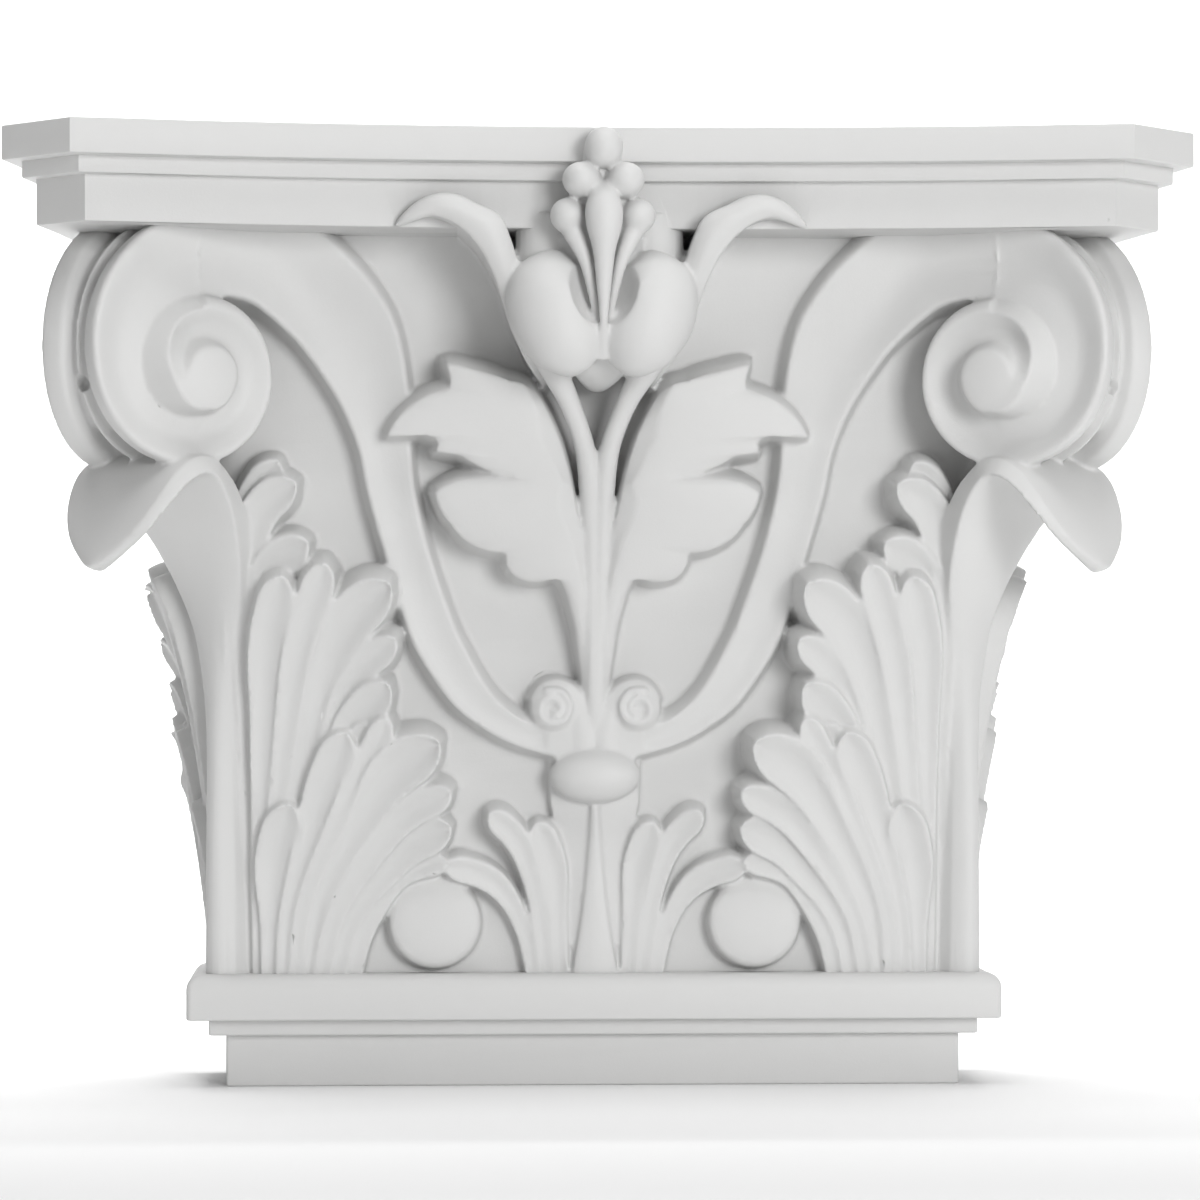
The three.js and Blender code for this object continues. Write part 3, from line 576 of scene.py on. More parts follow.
def corner_scrolls(sheet):
    """Front and side scroll of a corner, and the drum with its ridge between them."""
    steps = 288
    turns = np.linspace(0, 1 - 1 / steps, steps)
    outer = spiral(turns)
    front = []
    for reach in np.concatenate([np.linspace(0.5, 66, 74), [67.0]]):
        radius = np.minimum(reach, outer)
        front.append(on_scroll(sheet, turns, radius, scroll_height(sheet, radius, turns)))
    for sink, lift in ((0.0, -3.0), (0.0, -6.0), (0.3, -9.0), (1.3, -10.6), (3.0, -11.4)):
        front.append(on_scroll(sheet, turns, outer - sink, lift))
    rings = list(front)
    # The drum's valleys are deeper over the tall leaf
    pocket = 7 * np.exp(-((turns - 0.39) / 0.035) ** 2)
    valley = on_scroll(sheet, turns, outer - 5.5 - pocket, DRUM_LIFT)
    ridge = on_scroll(sheet, turns, outer - 1.6, DRUM_LIFT)
    for share in (0.08, 0.24, 0.36, 0.42, 0.46, 0.5, 0.54, 0.58, 0.64, 0.76, 0.92):
        crest = math.exp(-((share - 0.5) / 0.085) ** 4)
        line = mix(valley, ridge, crest)
        rings.append(mix(line, sheet.sideways(line), share))
    rings.extend(sheet.sideways(ring) for ring in reversed(front))
    return loft(rings)


def drill(sheet):
    """Cutter for the small blind hole in the drum's ridge."""
    mouth = on_scroll(sheet, DRILL_TURN, float(spiral(DRILL_TURN)), DRUM_LIFT)
    mouth = mix(mouth, sheet.sideways(mouth), DRILL_SHARE)
    hub = on_scroll(sheet, 0.0, 0.0, -40.0)
    way = (mouth - hub) * np.array([1, 1, 0])
    way /= np.linalg.norm(way)
    across = np.array([-way[1], way[0], 0])
    up = np.array([0, 0, 1.0])
    angle = np.linspace(0, 2 * math.pi, 24, endpoint=False)[:, None]
    spoke = across * np.cos(angle) + up * np.sin(angle)
    return loft([mouth + way * reach + radius * spoke
                 for reach, radius in ((12, 4.2), (-2.5, 3.8), (-9, 3.4), (-10, 2.0))])


# Bands between the scrolls and the bud

# Rounding of the band's edges, and how deep its first stretch starts in the scroll's face
BAND_EDGE = 2.2
BAND_DIVE = 2.8

# Stations from the scroll to the bud: [x, z] of the band's outer edge, then of its inner edge
BAND_COURSE = [
    [150, 312, 150, 276.5], [131, 311, 141, 274], [114, 305, 135, 270], [103, 296, 129, 265],
    [92, 284, 121, 257], [82, 267, 113, 246], [77, 243, 105, 233], [76, 220, 98, 216],
    [74, 199, 94, 197], [69, 177, 87, 172], [61, 153, 80, 149], [55, 138, 74, 133],
    [43, 117, 60, 112], [31, 106, 48, 102], [17, 101, 33, 94], [6, 99, 12, 88],
]


def band(sheet):
    """Band that leaves the scroll's top, where its edges follow the scroll's two turns."""
    begin = []
    for turn in (0.03, 0.015, 0.0):
        row = []
        for radius in (float(spiral(turn)), float(spiral(1 + turn))):
            across = radius * math.sin(2 * math.pi * turn) * math.cos(SCROLL_TURN)
            row.append((sheet.half + SCROLL_ASIDE + across) * SHEET_HALF / sheet.bell_half)
            row.append(SCROLL_RISE + radius * math.cos(2 * math.pi * turn))
        begin.append(row)
    rows, columns = 170, 26
    course = through(begin + BAND_COURSE, rows)
    across = np.linspace(0, 1, columns)
    top = []
    for v, (ox, oz, ix, iz) in zip(np.linspace(0, 1, rows), course):
        x, z = mix(ox, ix, across), mix(oz, iz, across)
        beside = x * sheet.bell_half / SHEET_HALF - sheet.half - SCROLL_ASIDE
        lean = SCROLL_OUT + beside * math.tan(SCROLL_TURN)
        flat = sheet.bell_out(z) + sheet.band
        width = math.hypot(ox - ix, oz - iz)
        gap = lean - flat
        blend = flat + 0.5 * (gap + np.sqrt(gap ** 2 + 25.0 * smooth(v, 0.11, 0.28)))
        curled = sheet.dish * channel(across) / math.cos(SCROLL_TURN)
        free = 3.0 * min(width / 30, 1.2) * (1 - (2 * across - 1) ** 2)
        outer = np.clip(1 - across * width / BAND_EDGE, 0, 1)
        inner = np.clip(1 - (1 - across) * width / BAND_EDGE, 0, 1) * smooth(v, 0.11, 0.2)
        edge = BAND_EDGE * (1 - np.sqrt(1 - np.maximum(outer, inner) ** 2))
        dive = BAND_DIVE * (1 - smooth(v, 0, 0.1))
        lift = blend - mix(curled, free, smooth(v, 0.2, 0.46)) - edge - dive
        top.append(np.column_stack([x, z, lift]))
    return relief(sheet, top, side=0.2, over=0.12, rest_row=False)


# Leaves of a corner

# Each leaf is a fan of leaflets. A leaflet is [half width at its root, at its widest],
# then its course from the root to the tip as [x, z, lift].
SIDE_LOBE = [
    [3, 6.5, [147, 140, 6], [146.4, 168, 11], [141.5, 193, 17], [130, 210, 22]],
    [4, 7.5, [147, -1, 4], [146.5, 70, 5], [147.6, 140, 12], [143, 174, 18], [136, 192, 22],
     [123, 201, 26]],
    [3, 7.5, [144, -1, 4], [142.5, 70, 6], [144, 130, 11], [138, 156, 15], [131, 169, 20],
     [118, 177, 25]],
]
BACK_LEAF = [
    [3, 7, [137.9, -1, 7], [138.3, 51, 9], [137, 105, 15], [135, 138, 22], [128.5, 163, 31]],
    [3, 6.5, [133.8, -1, 7], [132.9, 51, 10], [126.9, 105, 17], [121, 137, 24], [111, 168, 33]],
    [3, 9.5, [128.8, -1, 7], [126.3, 51, 10], [115, 109, 18], [105, 140, 26], [85, 160, 36]],
    [3, 6, [123.8, -1, 7], [121.3, 43, 9], [109.7, 95, 16], [99, 122, 22], [82.5, 137.5, 31]],
    [3, 8, [119.7, -1, 7], [117.2, 34, 9], [108, 76, 14], [100, 101, 20], [85.5, 119, 28]],
    [3, 5, [115.5, -1, 7], [113.8, 30, 9], [108, 61, 12], [103.5, 83, 16], [94.5, 103, 22]],
]
FRONT_LEAF = [
    [3.5, 8, [133.7, -1, 9], [134, 22, 10], [132.5, 45, 13], [126, 69.5, 19]],
    [3.5, 7.5, [127.9, -1, 10], [125.8, 28, 12], [117, 62, 16], [111, 79, 20], [102.6, 99, 25]],
    [3, 5, [122.9, -1, 10], [119.6, 30, 13], [104, 69, 19], [95, 86, 22], [85.5, 105, 27]],
    [3.5, 10, [118, -1, 10], [113, 30, 13], [95, 65, 19], [83, 83, 24], [64.5, 95, 30]],
    [3.5, 6, [113, -1, 10], [106.4, 25, 13], [89, 52, 17], [77, 66, 20], [59.5, 75, 24]],
    [3.5, 8, [106.4, -1, 10], [100.6, 21, 12], [85, 43, 15], [75, 54, 18], [59.5, 60, 21]],
    [3.5, 4.5, [99.8, -1, 9], [94.8, 17, 11], [84, 36, 13], [75, 43, 15], [61, 46, 17]],
]
MIDDLE_LEAF = [
    [3, 5, [25, -1, 7], [29, 16, 7], [36, 31, 9], [46, 40, 12], [62, 44.5, 16]],
    [3, 5, [20, -1, 7], [23, 24, 8], [28, 45, 11], [34, 57, 14], [44, 66, 18]],
    [3, 5.5, [14, -1, 7], [15, 24, 8], [17, 44, 10], [24, 62, 14]],
]


def leaflet(sheet, half_root, half_wide, course):
    """Gutter-shaped blade, widest near its rounded tip, that rises to a lip and rolls over."""
    rows, columns, fine = 44, 15, 400
    share = np.linspace(0, 1, rows)
    line = through(course, fine)[np.linspace(0, fine - 1, rows).astype(int)]
    way = np.gradient(line[:, :2], axis=0)
    way /= np.linalg.norm(way, axis=1)[:, None]
    aside = np.column_stack([way[:, 1], -way[:, 0]])
    run = np.r_[0, np.cumsum(np.linalg.norm(np.diff(line[:, :2], axis=0), axis=1))]
    left = run[-1] - run
    width = mix(half_root, half_wide, smooth(share, 0.25, 0.8))
    tip = np.clip(left / (1.5 * half_wide), 0, 1)
    width = width * np.maximum(1 - (1 - tip) ** 1.9, 0.0) ** 0.62 + 0.35
    across = np.linspace(-1, 1, columns)
    gutter = sheet.flute * mix(0.5, 1.5, smooth(share, 0.3, 0.85)) * half_wide / 7
    edge = mix(0.2, 1.1, smooth(share, 0.5, 0.85))
    top = []
    for (x, z, lift), side, wide, deep, soft in zip(line, aside, width, gutter, edge):
        flat = np.array([x, z]) + across[:, None] * side * wide
        cup = deep * (across ** 2 - 1) - soft * smooth(np.abs(across), 0.72, 1.0)
        top.append(np.column_stack([flat, sheet.bell_out(flat[:, 1]) + lift + cup]))
    return relief(sheet, top, side=0.1, over=0.1)


def leaf(sheet, leaflets):
    return [leaflet(sheet, root, widest, course) for root, widest, *course in leaflets]


# Stations of the tall leaf: [out along the corner's diagonal, z, half width]
TONGUE_COURSE = [
    [4, -1, 8], [4.4, 50, 7], [5, 103, 7.5], [8, 138, 12.5], [14, 163, 20.5], [24, 184, 28],
    [34, 197, 33], [44, 204, 36], [54, 201, 35], [63, 190, 30.5], [69, 178, 22], [73, 168, 9],
    [74, 165, 2],
]


def tongue(sheet):
    """Tall leaf on the corner, whose tip curls over."""
    line = through(TONGUE_COURSE, 90)
    way = np.gradient(line[:, :2], axis=0)
    way /= np.linalg.norm(way, axis=1)[:, None]
    share = np.linspace(0, 1, len(line))
    crown = mix(7.0, 2.2, smooth(share, 0, 0.5))
    thick = mix(16.0, 5.0, smooth(share, 0.35, 0.8))
    across = np.linspace(-1, 1, 25)
    bulge = (1 - np.abs(across) ** 2.6) * 1.15
    face = list(zip(across, bulge))
    rings = []
    for (reach, z, width), (along, climb), top, deep in zip(line, way, crown, thick):
        ring = []
        rear = [(s, -deep * (1 - 0.35 * s * s) / top) for s in np.linspace(0.86, -0.86, 9)]
        for side, offset in face + rear:
            out_along = reach + climb * offset * top
            height = z - along * offset * top
            aside = (out_along + side * width) / math.sqrt(2) - sheet.inset
            out = (out_along - side * width) / math.sqrt(2) - sheet.inset
            ring.append([-sheet.half - aside, sheet.front - out,
                         sheet.foot + height * sheet.rise / SHEET_RISE])
        rings.append(ring)
    return loft(rings)


# Middle of the front


def roundel(sheet):
    return disc(sheet, (66, 21), [
        (20, -7), (19.6, 2), (19, 5), (18.2, 6.6), (16.6, 7.4), (12, 8), (6, 8.3), (1, 8.4)])


# Sides of the smooth leaf: [x, z] up its stem side, and [x, z, bulge of the stretch that ends
# there] round its lobes, with the bulge as a share of the stretch
STEM_SIDE = [
    [0.6, 96], [1.2, 104], [2.2, 125], [3.0, 148], [3.7, 162], [5.5, 175], [8.2, 189], [12.2, 208],
    [18, 225], [27, 240], [38, 243.5],
]
LOBED_SIDE = [
    [3.1, 96, 0], [4.2, 108, 0], [6.3, 124, 0], [9, 143, 0], [12.8, 158, 0], [16.4, 164.5, 0],
    [27.4, 161.5, -0.12], [37.5, 169.5, -0.16], [37.2, 173.5, 0], [50, 176, -0.08],
    [60, 185, -0.08], [66.3, 197.5, -0.08], [58, 202, -0.04], [34, 203.6, -0.04],
    [56, 212.8, -0.05], [66, 214.2, 0], [65.4, 219.3, 0.06], [71, 221.8, -0.04], [86, 220.3, -0.03],
    [78, 231.2, -0.06], [67, 237.7, -0.05], [60.4, 239.6, 0], [60.2, 244, 0.05], [61.8, 249.6, 0],
    [50.7, 247.6, -0.04], [38.4, 244, -0.03],
]


def stem_leaf(sheet):
    """Smooth leaf beside the stem, between its stem side and its lobed side."""
    parts = 8
    lobes = [np.array(LOBED_SIDE[0][:2], float)]
    for last, point in zip(LOBED_SIDE[:-1], LOBED_SIDE[1:]):
        a, b = np.array(last[:2], float), np.array(point[:2], float)
        aside = np.array([b[1] - a[1], -(b[0] - a[0])])
        for n in range(1, parts + 1):
            t = n / parts
            lobes.append(mix(a, b, t) - aside * 4 * t * (1 - t) * point[2])
    lobes = np.asarray(lobes)
    stem_side = through(STEM_SIDE, 200)
    heights = np.maximum.accumulate(stem_side[:, 1])
    # Heights on the stem side that face the lobed side's points 0, 6, 14 and the last
    level = np.interp(np.arange(len(lobes)), [0, 6 * parts, 14 * parts, len(lobes) - 1],
                      [96, 168, 206, 243.5])
    inner = np.column_stack([np.interp(level, heights, stem_side[:, 0]), level])
    top = []
    for v in np.linspace(0, 1, 30):
        flat = mix(inner, lobes, v)
        raise_by = 10 + 14 * smooth(flat[:, 1], 105, 205)
        swell = 1.5 - 4.5 * (1.15 * v - 0.42) ** 2 - 2.6 * (1 - smooth(v, 0, 0.14))
        top.append(np.column_stack([flat, sheet.bell_out(flat[:, 1]) + raise_by + swell]))
    top = np.swapaxes(np.asarray(top), 0, 1)
    return relief(sheet, top, side=0.12, over=0.12, rest_row=False)


def stem(sheet):
    return rod(sheet, [
        [0.4, 90, 7, 2.2], [0.8, 115, 11, 3.0], [1.4, 150, 16, 3.6], [2.2, 185, 21, 4.4],
        [3.4, 206, 24, 4.6], [6.2, 220, 27, 4.2], [12, 235, 33, 4.4], [20, 250, 44, 6],
        [24, 262, 52, 8],
    ])


def middle_strip(sheet, outline, raise_by, crown):
    """Strip up the middle, as wide as its outline of [x, z] says."""
    line = through(outline, 40)
    across = np.linspace(-1, 1, 15)
    top = [np.column_stack([
        across * x, np.full(len(across), z),
        sheet.bell_out(z) + raise_by - crown * across ** 2,
    ]) for x, z in line]
    return relief(sheet, top, side=0.12, over=0.0, rest_row=False)


def stalk(sheet):
    return [
        middle_strip(sheet, [[19, 92], [18.6, 80], [18, 69], [15, 57], [11.5, 42], [9.5, 22],
                             [9, -1]], 7, 1.5),
        middle_strip(sheet, [[1.7, 76], [2.1, 60], [3.9, 38], [6, 20], [9.3, -1]], 10, 1.0),
    ]


# Middle of the small scroll beside the bud
CURL_X = 17.6
CURL_Z = 109.5


def small_scroll(sheet):
    """Curl beside the bud that ends in a flat button, with the web that ties it to the band."""
    button = disc(sheet, (CURL_X, CURL_Z), [
        (10.5, -7), (9.4, 10), (9.0, 12.2), (8.2, 13.2), (6.6, 13.4), (1, 13.4)], 40)
    line = through([
        [4, 84, 4], [4.6, 96, 4], [5.6, 106, 3.6], [9, 114.5, 3.2], [15, 118.2, 3.0],
        [21, 117, 2.8], [25, 112, 2.2],
    ], 50)
    way = np.gradient(line[:, :2], axis=0)
    way /= np.linalg.norm(way, axis=1)[:, None]
    aside = np.column_stack([-way[:, 1], way[:, 0]])
    columns = 9
    across = np.linspace(-1, 1, columns)
    top = []
    for (x, z, width), turn in zip(line, aside):
        spots = np.array([x, z]) + across[:, None] * turn * width
        out = sheet.bell_out(spots[:, 1]) + 12.6 - 0.8 * across ** 2
        top.append(np.column_stack([spots, out]))
    web = []
    for inner, outer, z in ((5, 16, 88), (5, 20, 94), (6, 20, 99), (7, 17, 103), (9, 16, 107)):
        out = sheet.bell_out(z) + np.full(columns, 11.6)
        web.append(np.column_stack([np.linspace(inner, outer, columns), np.full(columns, z), out]))
    curl = []
    curl_out = float(sheet.bell_out(CURL_Z)) + 14.3
    for turn in np.linspace(0, 1.6, 12):
        angle = math.pi * (0.35 + 2 * turn)
        radius = 8.2 - 3.6 * turn
        curl.append([CURL_X + radius * math.cos(angle), CURL_Z + radius * math.sin(angle),
                     curl_out, 1.3])
    return [button, rod(sheet, curl, 90, 12), relief(sheet, top, 0.16, 0.0, False),
            relief(sheet, web, 0.1, 0.0, False)]


def bud(sheet):
    return ball(sheet, (0, 81.5, 8), (19, 12, 11.3), 56)


# Stations of the calyx leaf: [x, z] of its outer edge, [x, z] of its inner edge, out
CALYX_COURSE = [
    [22, 240, 16, 248, 28], [31, 252, 20, 264, 46], [38, 268, 27, 277, 56], [42.5, 281, 33, 288, 62],
    [48, 292, 37, 299, 66], [54, 299.5, 41, 307, 68], [60, 304, 51, 312, 68.5],
    [66.5, 306.4, 62.5, 315.6, 68], [73, 306.6, 71, 314, 66], [79, 305, 78, 308.6, 63],
    [83, 302.6, 82.4, 304.2, 60],
]


def calyx(sheet):
    """Leaf that opens behind the petal and ends in a curl against the abacus."""
    course = through(CALYX_COURSE, 70)
    across = np.linspace(0, 1, 17)
    top, low = [], []
    for v, (ox, oz, ix, iz, out) in zip(np.linspace(0, 1, len(course)), course):
        x, z = mix(ox, ix, across), mix(oz, iz, across)
        top.append(np.column_stack([x, z, out + 3.0 * np.sin(math.pi * across) - 1.5]))
        back = mix(8.0, 46.0, float(smooth(v, 0.45, 0.75)))
        low.append(np.column_stack([x - 3 * (1 - v) * (1 - across), z, np.full(len(x), back)]))
    rings = [np.concatenate([face, rear[::-1]]) for face, rear in zip(top, low)]
    return loft(sheet.place(rings))


def tendril(sheet):
    """Rounded back of the curl that the calyx leaf ends in."""
    return rod(sheet, [
        [44, 303, 60, 2.5], [53, 309, 64, 4], [62, 311.4, 65, 4.8], [70, 310.4, 64, 4.2],
        [77, 307, 62, 2.8], [82, 303.6, 59, 1.2],
    ])


def petal(sheet):
    """Cup-shaped petal: an egg that leans in over the other one at its foot."""
    return rod(sheet, [
        [13, 243.5, 60, 3], [13.5, 249, 62, 12], [15.5, 258, 63, 17], [18.6, 269, 61, 19.5],
        [20, 279, 60, 18], [19, 288, 60, 12], [18, 293.5, 60, 3],
    ], 64, 40)


def petal_hollow(sheet):
    """Cutter for the hollow of a petal's inner side, which the berries stand in."""
    return ball(sheet, (0.5, 284, 80), (14, 17, 23), 56)


def berries(sheet):
    """Top berry over a long middle one, and the berries and stalks at its sides."""
    shells = [
        ball(sheet, (0, 333.5, 75), (7.8, 9, 8.2)),
        rod(sheet, [[0, 250, 66, 2.6], [0, 264, 75, 1.8], [0, 278, 77, 3.0], [0, 292, 78, 4.6],
                    [0, 302, 78, 7.2], [0, 310, 77, 7.4], [0, 317, 74, 4.0], [0, 320, 72, 1.0]]),
    ]
    for side in (-1, 1):
        shells.append(ball(sheet, (side * 8.7, 320.8, 72), (7.8, 9, 7.2)))
        shells.append(ball(sheet, (side * 14, 306.8, 68), (7.2, 8.5, 7.2)))
        shells.append(rod(sheet, [
            [side * 1.6, 258, 68, 1.2], [side * 3.6, 272, 71, 1.8], [side * 7, 288, 72, 2.8],
            [side * 12, 300, 70, 4.2], [side * 15, 307, 66, 5]]))
    return shells


def heart(sheet):
    """Core between the bell, the petals and the abacus."""
    shells = [
        rod(sheet, [[0, 244, 22, 6], [0, 256, 42, 15], [0, 275, 46, 18], [0, 300, 50, 18]]),
        rod(sheet, [[0, 292, 54, 16], [0, 312, 60, 12], [0, 336, 63, 8]]),
    ]
    for side in (1, -1):
        shells.append(rod(sheet, [
            [side * 20, 262, 46, 13], [side * 21, 284, 44, 13], [side * 21, 309, 42, 13]]))
    return shells


# From shells to Blender meshes


def mirrored(shell):
    points, faces = shell
    return points * np.array([-1, 1, 1]), faces


def both_sides(shells):
    return shells + [mirrored(shell) for shell in shells]


def returned(sheet, shells):
    """The shells, and their reflections on the side face."""
    return shells + [(sheet.sideways(points), faces) for points, faces in shells]


def pattern(name, shells, behind=None):
    """Blender object made of closed shells, in metres. No point lies further back than behind."""
    points, faces, count = [], [], 0
    for spots, groups in shells:
        points.append(np.asarray(spots, float) * MM)
        for group in groups:
            faces.extend((group + count).tolist())
        count += len(spots)
    points = np.concatenate(points)
    if behind is not None:
        points[:, 1] = np.minimum(points[:, 1], behind * MM)
    mesh = bpy.data.meshes.new(PATTERN + name)
    mesh.from_pydata(points.tolist(), [], faces)
    mesh.update()
    piece = bpy.data.objects.new(PATTERN + name, mesh)
    bpy.context.scene.collection.objects.link(piece)
    return piece


def outwards(piece):
    """Turns the faces of closed shells outwards."""
    work = bmesh.new()
    work.from_mesh(piece.data)
    bmesh.ops.remove_doubles(work, verts=work.verts, dist=1e-6)
    bmesh.ops.recalc_face_normals(work, faces=work.faces)
    work.to_mesh(piece.data)
    work.free()


def applied(piece, kind, **settings):
    """Adds a modifier, and bakes it into the piece's mesh."""
    modifier = piece.modifiers.new(kind.lower(), kind)
    for key, value in settings.items():
        setattr(modifier, key, value)
    graph = bpy.context.evaluated_depsgraph_get()
    mesh = bpy.data.meshes.new_from_object(piece.evaluated_get(graph))
    piece.modifiers.clear()
    old = piece.data
    piece.data = mesh
    bpy.data.meshes.remove(old)


def removed(piece):
    mesh = piece.data
    bpy.data.objects.remove(piece)
    bpy.data.meshes.remove(mesh)


def sheet_now():
    return Sheet(bpy.context.scene.capital_sizes)


# Primer


class Socket:
    """A value in a node tree, so that shader maths reads as an expression."""

    def __init__(self, tree, output):
        self.tree = tree
        self.output = output

    def node(self, kind, settings=None, **inputs):
        """Adds a node. An input is named as on the node, or i and its number."""
        made = self.tree.nodes.new(kind)
        for key, value in (settings or {}).items():
            setattr(made, key, value)
        for key, value in inputs.items():
            by_number = key[1:].isdigit()
            target = made.inputs[int(key[1:]) if by_number else key.replace("_", " ")]
            if isinstance(value, Socket):
                self.tree.links.new(value.output, target)
            else:
                target.default_value = value
        return made

    def maths(self, operation, *values):
        inputs = {f"i{k}": value for k, value in enumerate(values)}
        made = self.node("ShaderNodeMath", {"operation": operation}, **inputs)
        return Socket(self.tree, made.outputs[0])

    def __add__(self, other):
        return self.maths("ADD", self, other)

    __radd__ = __add__

    def __sub__(self, other):
        return self.maths("SUBTRACT", self, other)

    def __rsub__(self, other):
        return self.maths("SUBTRACT", other, self)

    def __mul__(self, other):
        return self.maths("MULTIPLY", self, other)

    __rmul__ = __mul__

    def clamped(self, low, high):
        return self.maths("MINIMUM", self.maths("MAXIMUM", self, low), high)


# Small flaws of the casting: place on it in millimetres, and radius
PITS = [((-149.0, -49.0, 203.0), 1.2), ((207.0, -110.0, 383.0), 1.0), ((203.0, -112.0, 353.0), 0.9)]


def primer_material(finish):
    material = bpy.data.materials.new("white_primer")
    material.use_nodes = True
    tree = material.node_tree
    tree.nodes.clear()
    start = Socket(tree, None)
    place = Socket(tree, start.node("ShaderNodeTexCoord").outputs["Object"])

    def noise(scale, detail):
        made = start.node("ShaderNodeTexNoise", None, Vector=place, Scale=scale, Detail=detail,
                          Roughness=0.55)
        return Socket(tree, made.outputs["Fac"])

    stored = start.node("ShaderNodeAttribute", {"attribute_name": "crevice"})
    crevice = Socket(tree, stored.outputs["Fac"])
    mottle = noise(14.0, 3.0)
    speckle = noise(900.0, 2.0)
    spray = noise(2600.0, 1.0)
    # Painted shade: the crevice value darkens the primer in hollows and creases by up to 5%. Mottle
    # and speckle are the primer's own uneven tone.
    tone = crevice * -0.05 + (mottle - 0.5) * 0.05 + (speckle - 0.5) * 0.02 + 1.0
    # Inputs 6 and 7 of a Mix node are its two colours, and output 2 is the mixed one
    shade = start.node("ShaderNodeMix", {"data_type": "RGBA", "blend_type": "MIX"},
                       Factor=tone.clamped(0.0, 1.0), i6=(0, 0, 0, 1), i7=(*finish.primer, 1))

    height = (speckle - 0.5) * 0.35 + (spray - 0.5) * 0.25
    for spot, radius in PITS:
        away = start.node("ShaderNodeVectorMath", {"operation": "DISTANCE"}, i0=place,
                          i1=tuple(value * MM for value in spot))
        reach = Socket(tree, away.outputs["Value"]) * (1 / (radius * MM))
        height = height - (1.0 - reach).clamped(0.0, 1.0) * 6.0
    bump = start.node("ShaderNodeBump", None, Strength=0.35, Distance=0.0003, Height=height)

    shader = start.node("ShaderNodeBsdfPrincipled", None,
                        Roughness=(speckle - 0.5) * 0.12 + (mottle - 0.5) * 0.08 + finish.roughness,
                        Normal=Socket(tree, bump.outputs["Normal"]))
    shader.inputs["Specular IOR Level"].default_value = 0.4
    tree.links.new(shade.outputs[2], shader.inputs["Base Color"])
    surface = start.node("ShaderNodeOutputMaterial")
    tree.links.new(shader.outputs["BSDF"], surface.inputs["Surface"])
    return material


def store_crevice_shade(mesh):
    """Stores how hollow the surface is at each point, from 0 to 1. The primer uses it to paint shade
    into the hollows.
    """
    count = len(mesh.vertices)
    points = np.empty(count * 3)
    normals = np.empty(count * 3)
    mesh.vertices.foreach_get("co", points)
    mesh.vertices.foreach_get("normal", normals)
    points, normals = points.reshape(-1, 3), normals.reshape(-1, 3)
    ends = np.empty(len(mesh.edges) * 2, int)
    mesh.edges.foreach_get("vertices", ends)
    ends = ends.reshape(-1, 2)
    step = points[ends[:, 1]] - points[ends[:, 0]]
    length = np.maximum(np.linalg.norm(step, axis=1), 1e-7)
    bend = np.zeros(count)
    share = np.zeros(count)
    for one, sign in ((0, 1), (1, -1)):
        slope = sign * np.sum(step * normals[ends[:, one]], axis=1) / length
        np.add.at(bend, ends[:, one], slope)
        np.add.at(share, ends[:, one], 1)
    value = bend / np.maximum(share, 1)
    for _ in range(6):
        total = np.zeros(count)
        np.add.at(total, ends[:, 0], value[ends[:, 1]])
        np.add.at(total, ends[:, 1], value[ends[:, 0]])
        value = 0.5 * value + 0.5 * total / np.maximum(share, 1)
    value = np.clip(value * 6, 0, 1)
    attribute = mesh.attributes.new("crevice", "FLOAT", "POINT")
    attribute.data.foreach_set("value", value.astype(np.float32))


class CAPITAL_OT_scrolls(bpy.types.Operator):
    """Models the corner scrolls, with their drums and the bands that leave them"""

    bl_idname = "capital.scrolls"
    bl_label = "Corner scrolls"

    def execute(self, context):
        sheet = sheet_now()
        shells = [corner_scrolls(sheet)] + returned(sheet, [band(sheet)])
        pattern("scrolls", both_sides(shells), sheet.behind)
        return {"FINISHED"}


class CAPITAL_OT_leaves(bpy.types.Operator):
    """Models the fluted leaves and the tall corner leaves"""

    bl_idname = "capital.leaves"
    bl_label = "Leaves"

    def execute(self, context):
        sheet = sheet_now()
        shells = returned(sheet, leaf(sheet, SIDE_LOBE + BACK_LEAF + FRONT_LEAF))
        shells += leaf(sheet, MIDDLE_LEAF) + [tongue(sheet), stem_leaf(sheet)]
        pattern("leaves", both_sides(shells), sheet.behind)
        return {"FINISHED"}


class CAPITAL_OT_flower(bpy.types.Operator):
    """Models the flower, its berries, the calyx leaves and the stems"""

    bl_idname = "capital.flower"
    bl_label = "Flower and stems"

    def execute(self, context):
        sheet = sheet_now()
        finish = context.scene.capital_finish
        petals = pattern("petals", both_sides([petal(sheet)]))
        cutter = pattern("cutter", both_sides([petal_hollow(sheet)]))
        for piece in (petals, cutter):
            outwards(piece)
            applied(piece, "REMESH", mode="VOXEL", voxel_size=finish.grain)
        applied(petals, "BOOLEAN", operation="DIFFERENCE", object=cutter, solver="MANIFOLD")
        removed(cutter)
        shells = [stem(sheet), calyx(sheet), tendril(sheet)]
        pattern("flower", both_sides(shells) + heart(sheet) + berries(sheet))
        return {"FINISHED"}


class CAPITAL_OT_middle(bpy.types.Operator):
    """Models the bell with its bud, small scrolls, stalk and roundels"""

    bl_idname = "capital.middle"
    bl_label = "Bell, bud and stalk"

    def execute(self, context):
        sheet = sheet_now()
        shells = both_sides([roundel(sheet)] + small_scroll(sheet))
        shells += [bell(sheet), bud(sheet)] + stalk(sheet)
        pattern("middle", shells)
        return {"FINISHED"}


